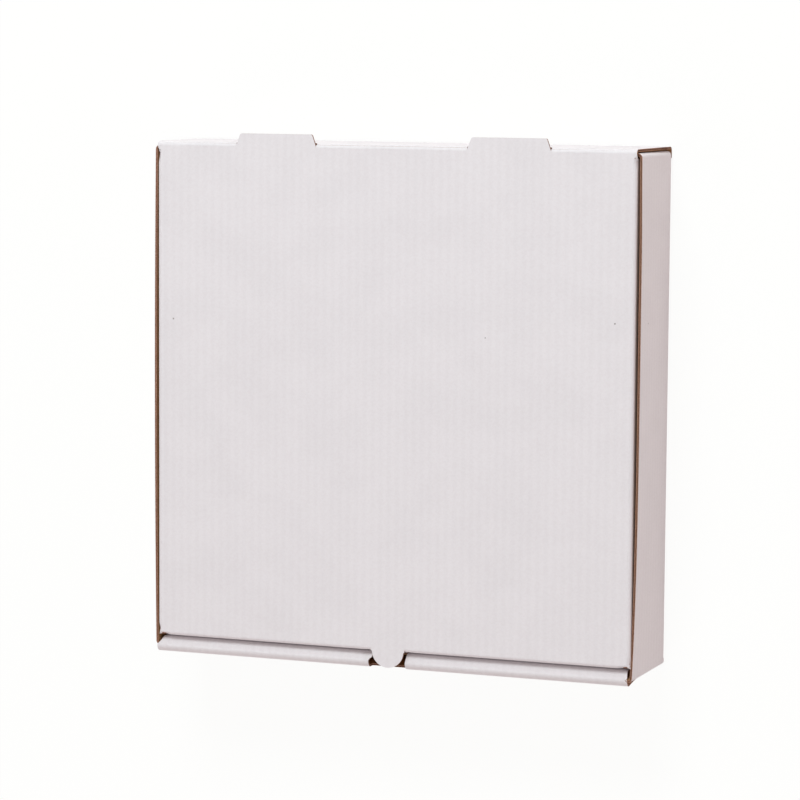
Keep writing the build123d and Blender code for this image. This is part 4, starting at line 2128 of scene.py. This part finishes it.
@dataclass(frozen=True)
class Studio:
    """Pale floor, soft light and the camera, with lengths in metres."""

    camera_place: Point3 = (0.45344, 0.14020, 1.23637)
    camera_right: Point3 = (0.93571104, 0.00684211, -0.35270106)
    camera_up: Point3 = (-0.04409425, 0.9942392, -0.09769401)
    lens: float = 147.23  # in millimetres, like the sensor
    sensor: float = 36.0
    floor_size: float = 12.0
    floor_drop: float = 0.0002
    floor_glow: float = 0.93  # how much of the floor's seen white comes from itself
    floor_colour: str = "#EFE4E0"
    floor_white: str = "#FFFFFE"
    backdrop: str = "#FFFFFF"
    sky: float = 0.45
    sky_colour: str = "#FFF6F3"
    key_watts: float = 20.3
    key_place: Point3 = (-0.05, 1.38, 1.08)
    key_size: float = 0.7
    key_colour: str = "#F1FEFF"
    fill_watts: float = 8.0
    fill_place: Point3 = (-0.45, -1.3, 1.15)
    fill_size: float = 1.4
    side_watts: float = 3.0
    side_place: Point3 = (1.6, 0.2, 0.4)
    side_size: float = 0.8
    low_colour: str = "#FFFAF9"

    def camera(self) -> None:
        """Sets the camera at the photograph's viewing angle."""
        data = bpy.data.cameras.new("camera")
        data.lens, data.sensor_width, data.sensor_fit = self.lens, self.sensor, "HORIZONTAL"
        right, up = Vector(self.camera_right), Vector(self.camera_up)
        turned = Matrix((right, up, right.cross(up))).transposed().to_4x4()
        made = add_object("camera", data)
        made.matrix_world = Matrix.Translation(self.camera_place) @ turned
        bpy.context.scene.camera = made

    def softbox(self, name: str, place: Point3, size: float, watts: float, tint: str) -> None:
        """Hangs a round soft light that points at the box.

        Args:
            name: the light's name.
            place: where it hangs.
            size: its diameter.
            watts: its power.
            tint: its colour.
        """
        data = bpy.data.lights.new(name, "AREA")
        data.shape, data.size, data.energy = "DISK", size, watts
        data.color = linear(tint)[:3]
        made = add_object(name, data)
        away = Vector(place)
        made.matrix_world = Matrix.LocRotScale(away, away.to_track_quat("Z", "Y"), None)

    def lights(self) -> None:
        """Lights the box softly from behind, the front left and the right, under a pale sky."""
        self.softbox("key", self.key_place, self.key_size, self.key_watts, self.key_colour)
        self.softbox("fill", self.fill_place, self.fill_size, self.fill_watts, self.low_colour)
        self.softbox("side", self.side_place, self.side_size, self.side_watts, self.low_colour)
        world = bpy.data.worlds.new("studio")
        world.use_nodes = True
        tree = world.node_tree
        tree.nodes.clear()
        seen = self.seen(tree)
        colour = blended(tree, seen, linear(self.sky_colour), linear(self.backdrop))
        strength = add_node(
            tree, "ShaderNodeMapRange", {"Value": seen, "To Min": self.sky, "To Max": 1.0}
        )
        white = add_node(
            tree,
            "ShaderNodeBackground",
            {"Color": colour, "Strength": strength.outputs["Result"]},
        )
        add_node(tree, "ShaderNodeOutputWorld", {"Surface": white.outputs[0]})
        bpy.context.scene.world = world

    @staticmethod
    def seen(tree: bpy.types.NodeTree) -> bpy.types.NodeSocket:
        """Adds a switch for what the camera sees of the floor and the world.

        Args:
            tree: the material's or the world's tree.

        Returns:
            1 for camera, glossy and transmitted rays, and 0 for others.
        """
        path = add_node(tree, "ShaderNodeLightPath")
        gloss = add_node(
            tree,
            "ShaderNodeMath",
            {0: path.outputs["Is Glossy Ray"], 1: path.outputs["Is Transmission Ray"]},
            operation="MAXIMUM",
        )
        both = add_node(
            tree,
            "ShaderNodeMath",
            {0: path.outputs["Is Camera Ray"], 1: gloss.outputs[0]},
            operation="MAXIMUM",
        )
        return both.outputs[0]

    def floor(self) -> None:
        """Lays the pale floor, which shows white and keeps the box's shadow."""
        half = self.floor_size / 2
        corners = [(-half, -half), (half, -half), (half, half), (-half, half)]
        mesh = bpy.data.meshes.new("floor")
        mesh.from_pydata([(x, y, -self.floor_drop) for x, y in corners], [], [(0, 1, 2, 3)])
        material = bpy.data.materials.new("SeamlessPaper")
        material.use_nodes = True
        tree = material.node_tree
        tree.nodes.clear()
        seen = self.seen(tree)
        white = linear(self.floor_white)
        colour = blended(tree, seen, linear(self.floor_colour), white)
        matt = add_node(tree, "ShaderNodeBsdfDiffuse", {"Color": colour, "Roughness": 0.0})
        glow = add_node(tree, "ShaderNodeEmission", {"Color": white, "Strength": 1.0})
        share = add_node(
            tree,
            "ShaderNodeMapRange",
            {"Value": seen, "To Min": 0.0, "To Max": self.floor_glow},
        )
        surface = add_node(
            tree,
            "ShaderNodeMixShader",
            {0: share.outputs["Result"], 1: matt.outputs[0], 2: glow.outputs[0]},
        )
        add_node(tree, "ShaderNodeOutputMaterial", {"Surface": surface.outputs[0]})
        mesh.materials.append(material)
        add_object("floor", mesh)

    def build(self) -> None:
        """Sets up the camera, the lights, the floor and the plain view transform."""
        self.camera()
        self.lights()
        self.floor()
        bpy.context.scene.view_settings.view_transform = "Standard"


def main() -> None:
    """Builds the box and the studio."""
    logging.basicConfig(level=logging.INFO, format="%(name)s: %(message)s")
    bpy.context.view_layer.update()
    sizes = BoxSizes()
    pieces = [*Tray(sizes).build(), *Lid(sizes).build()]
    Studio().build()


if __name__ == "__main__":
    main()
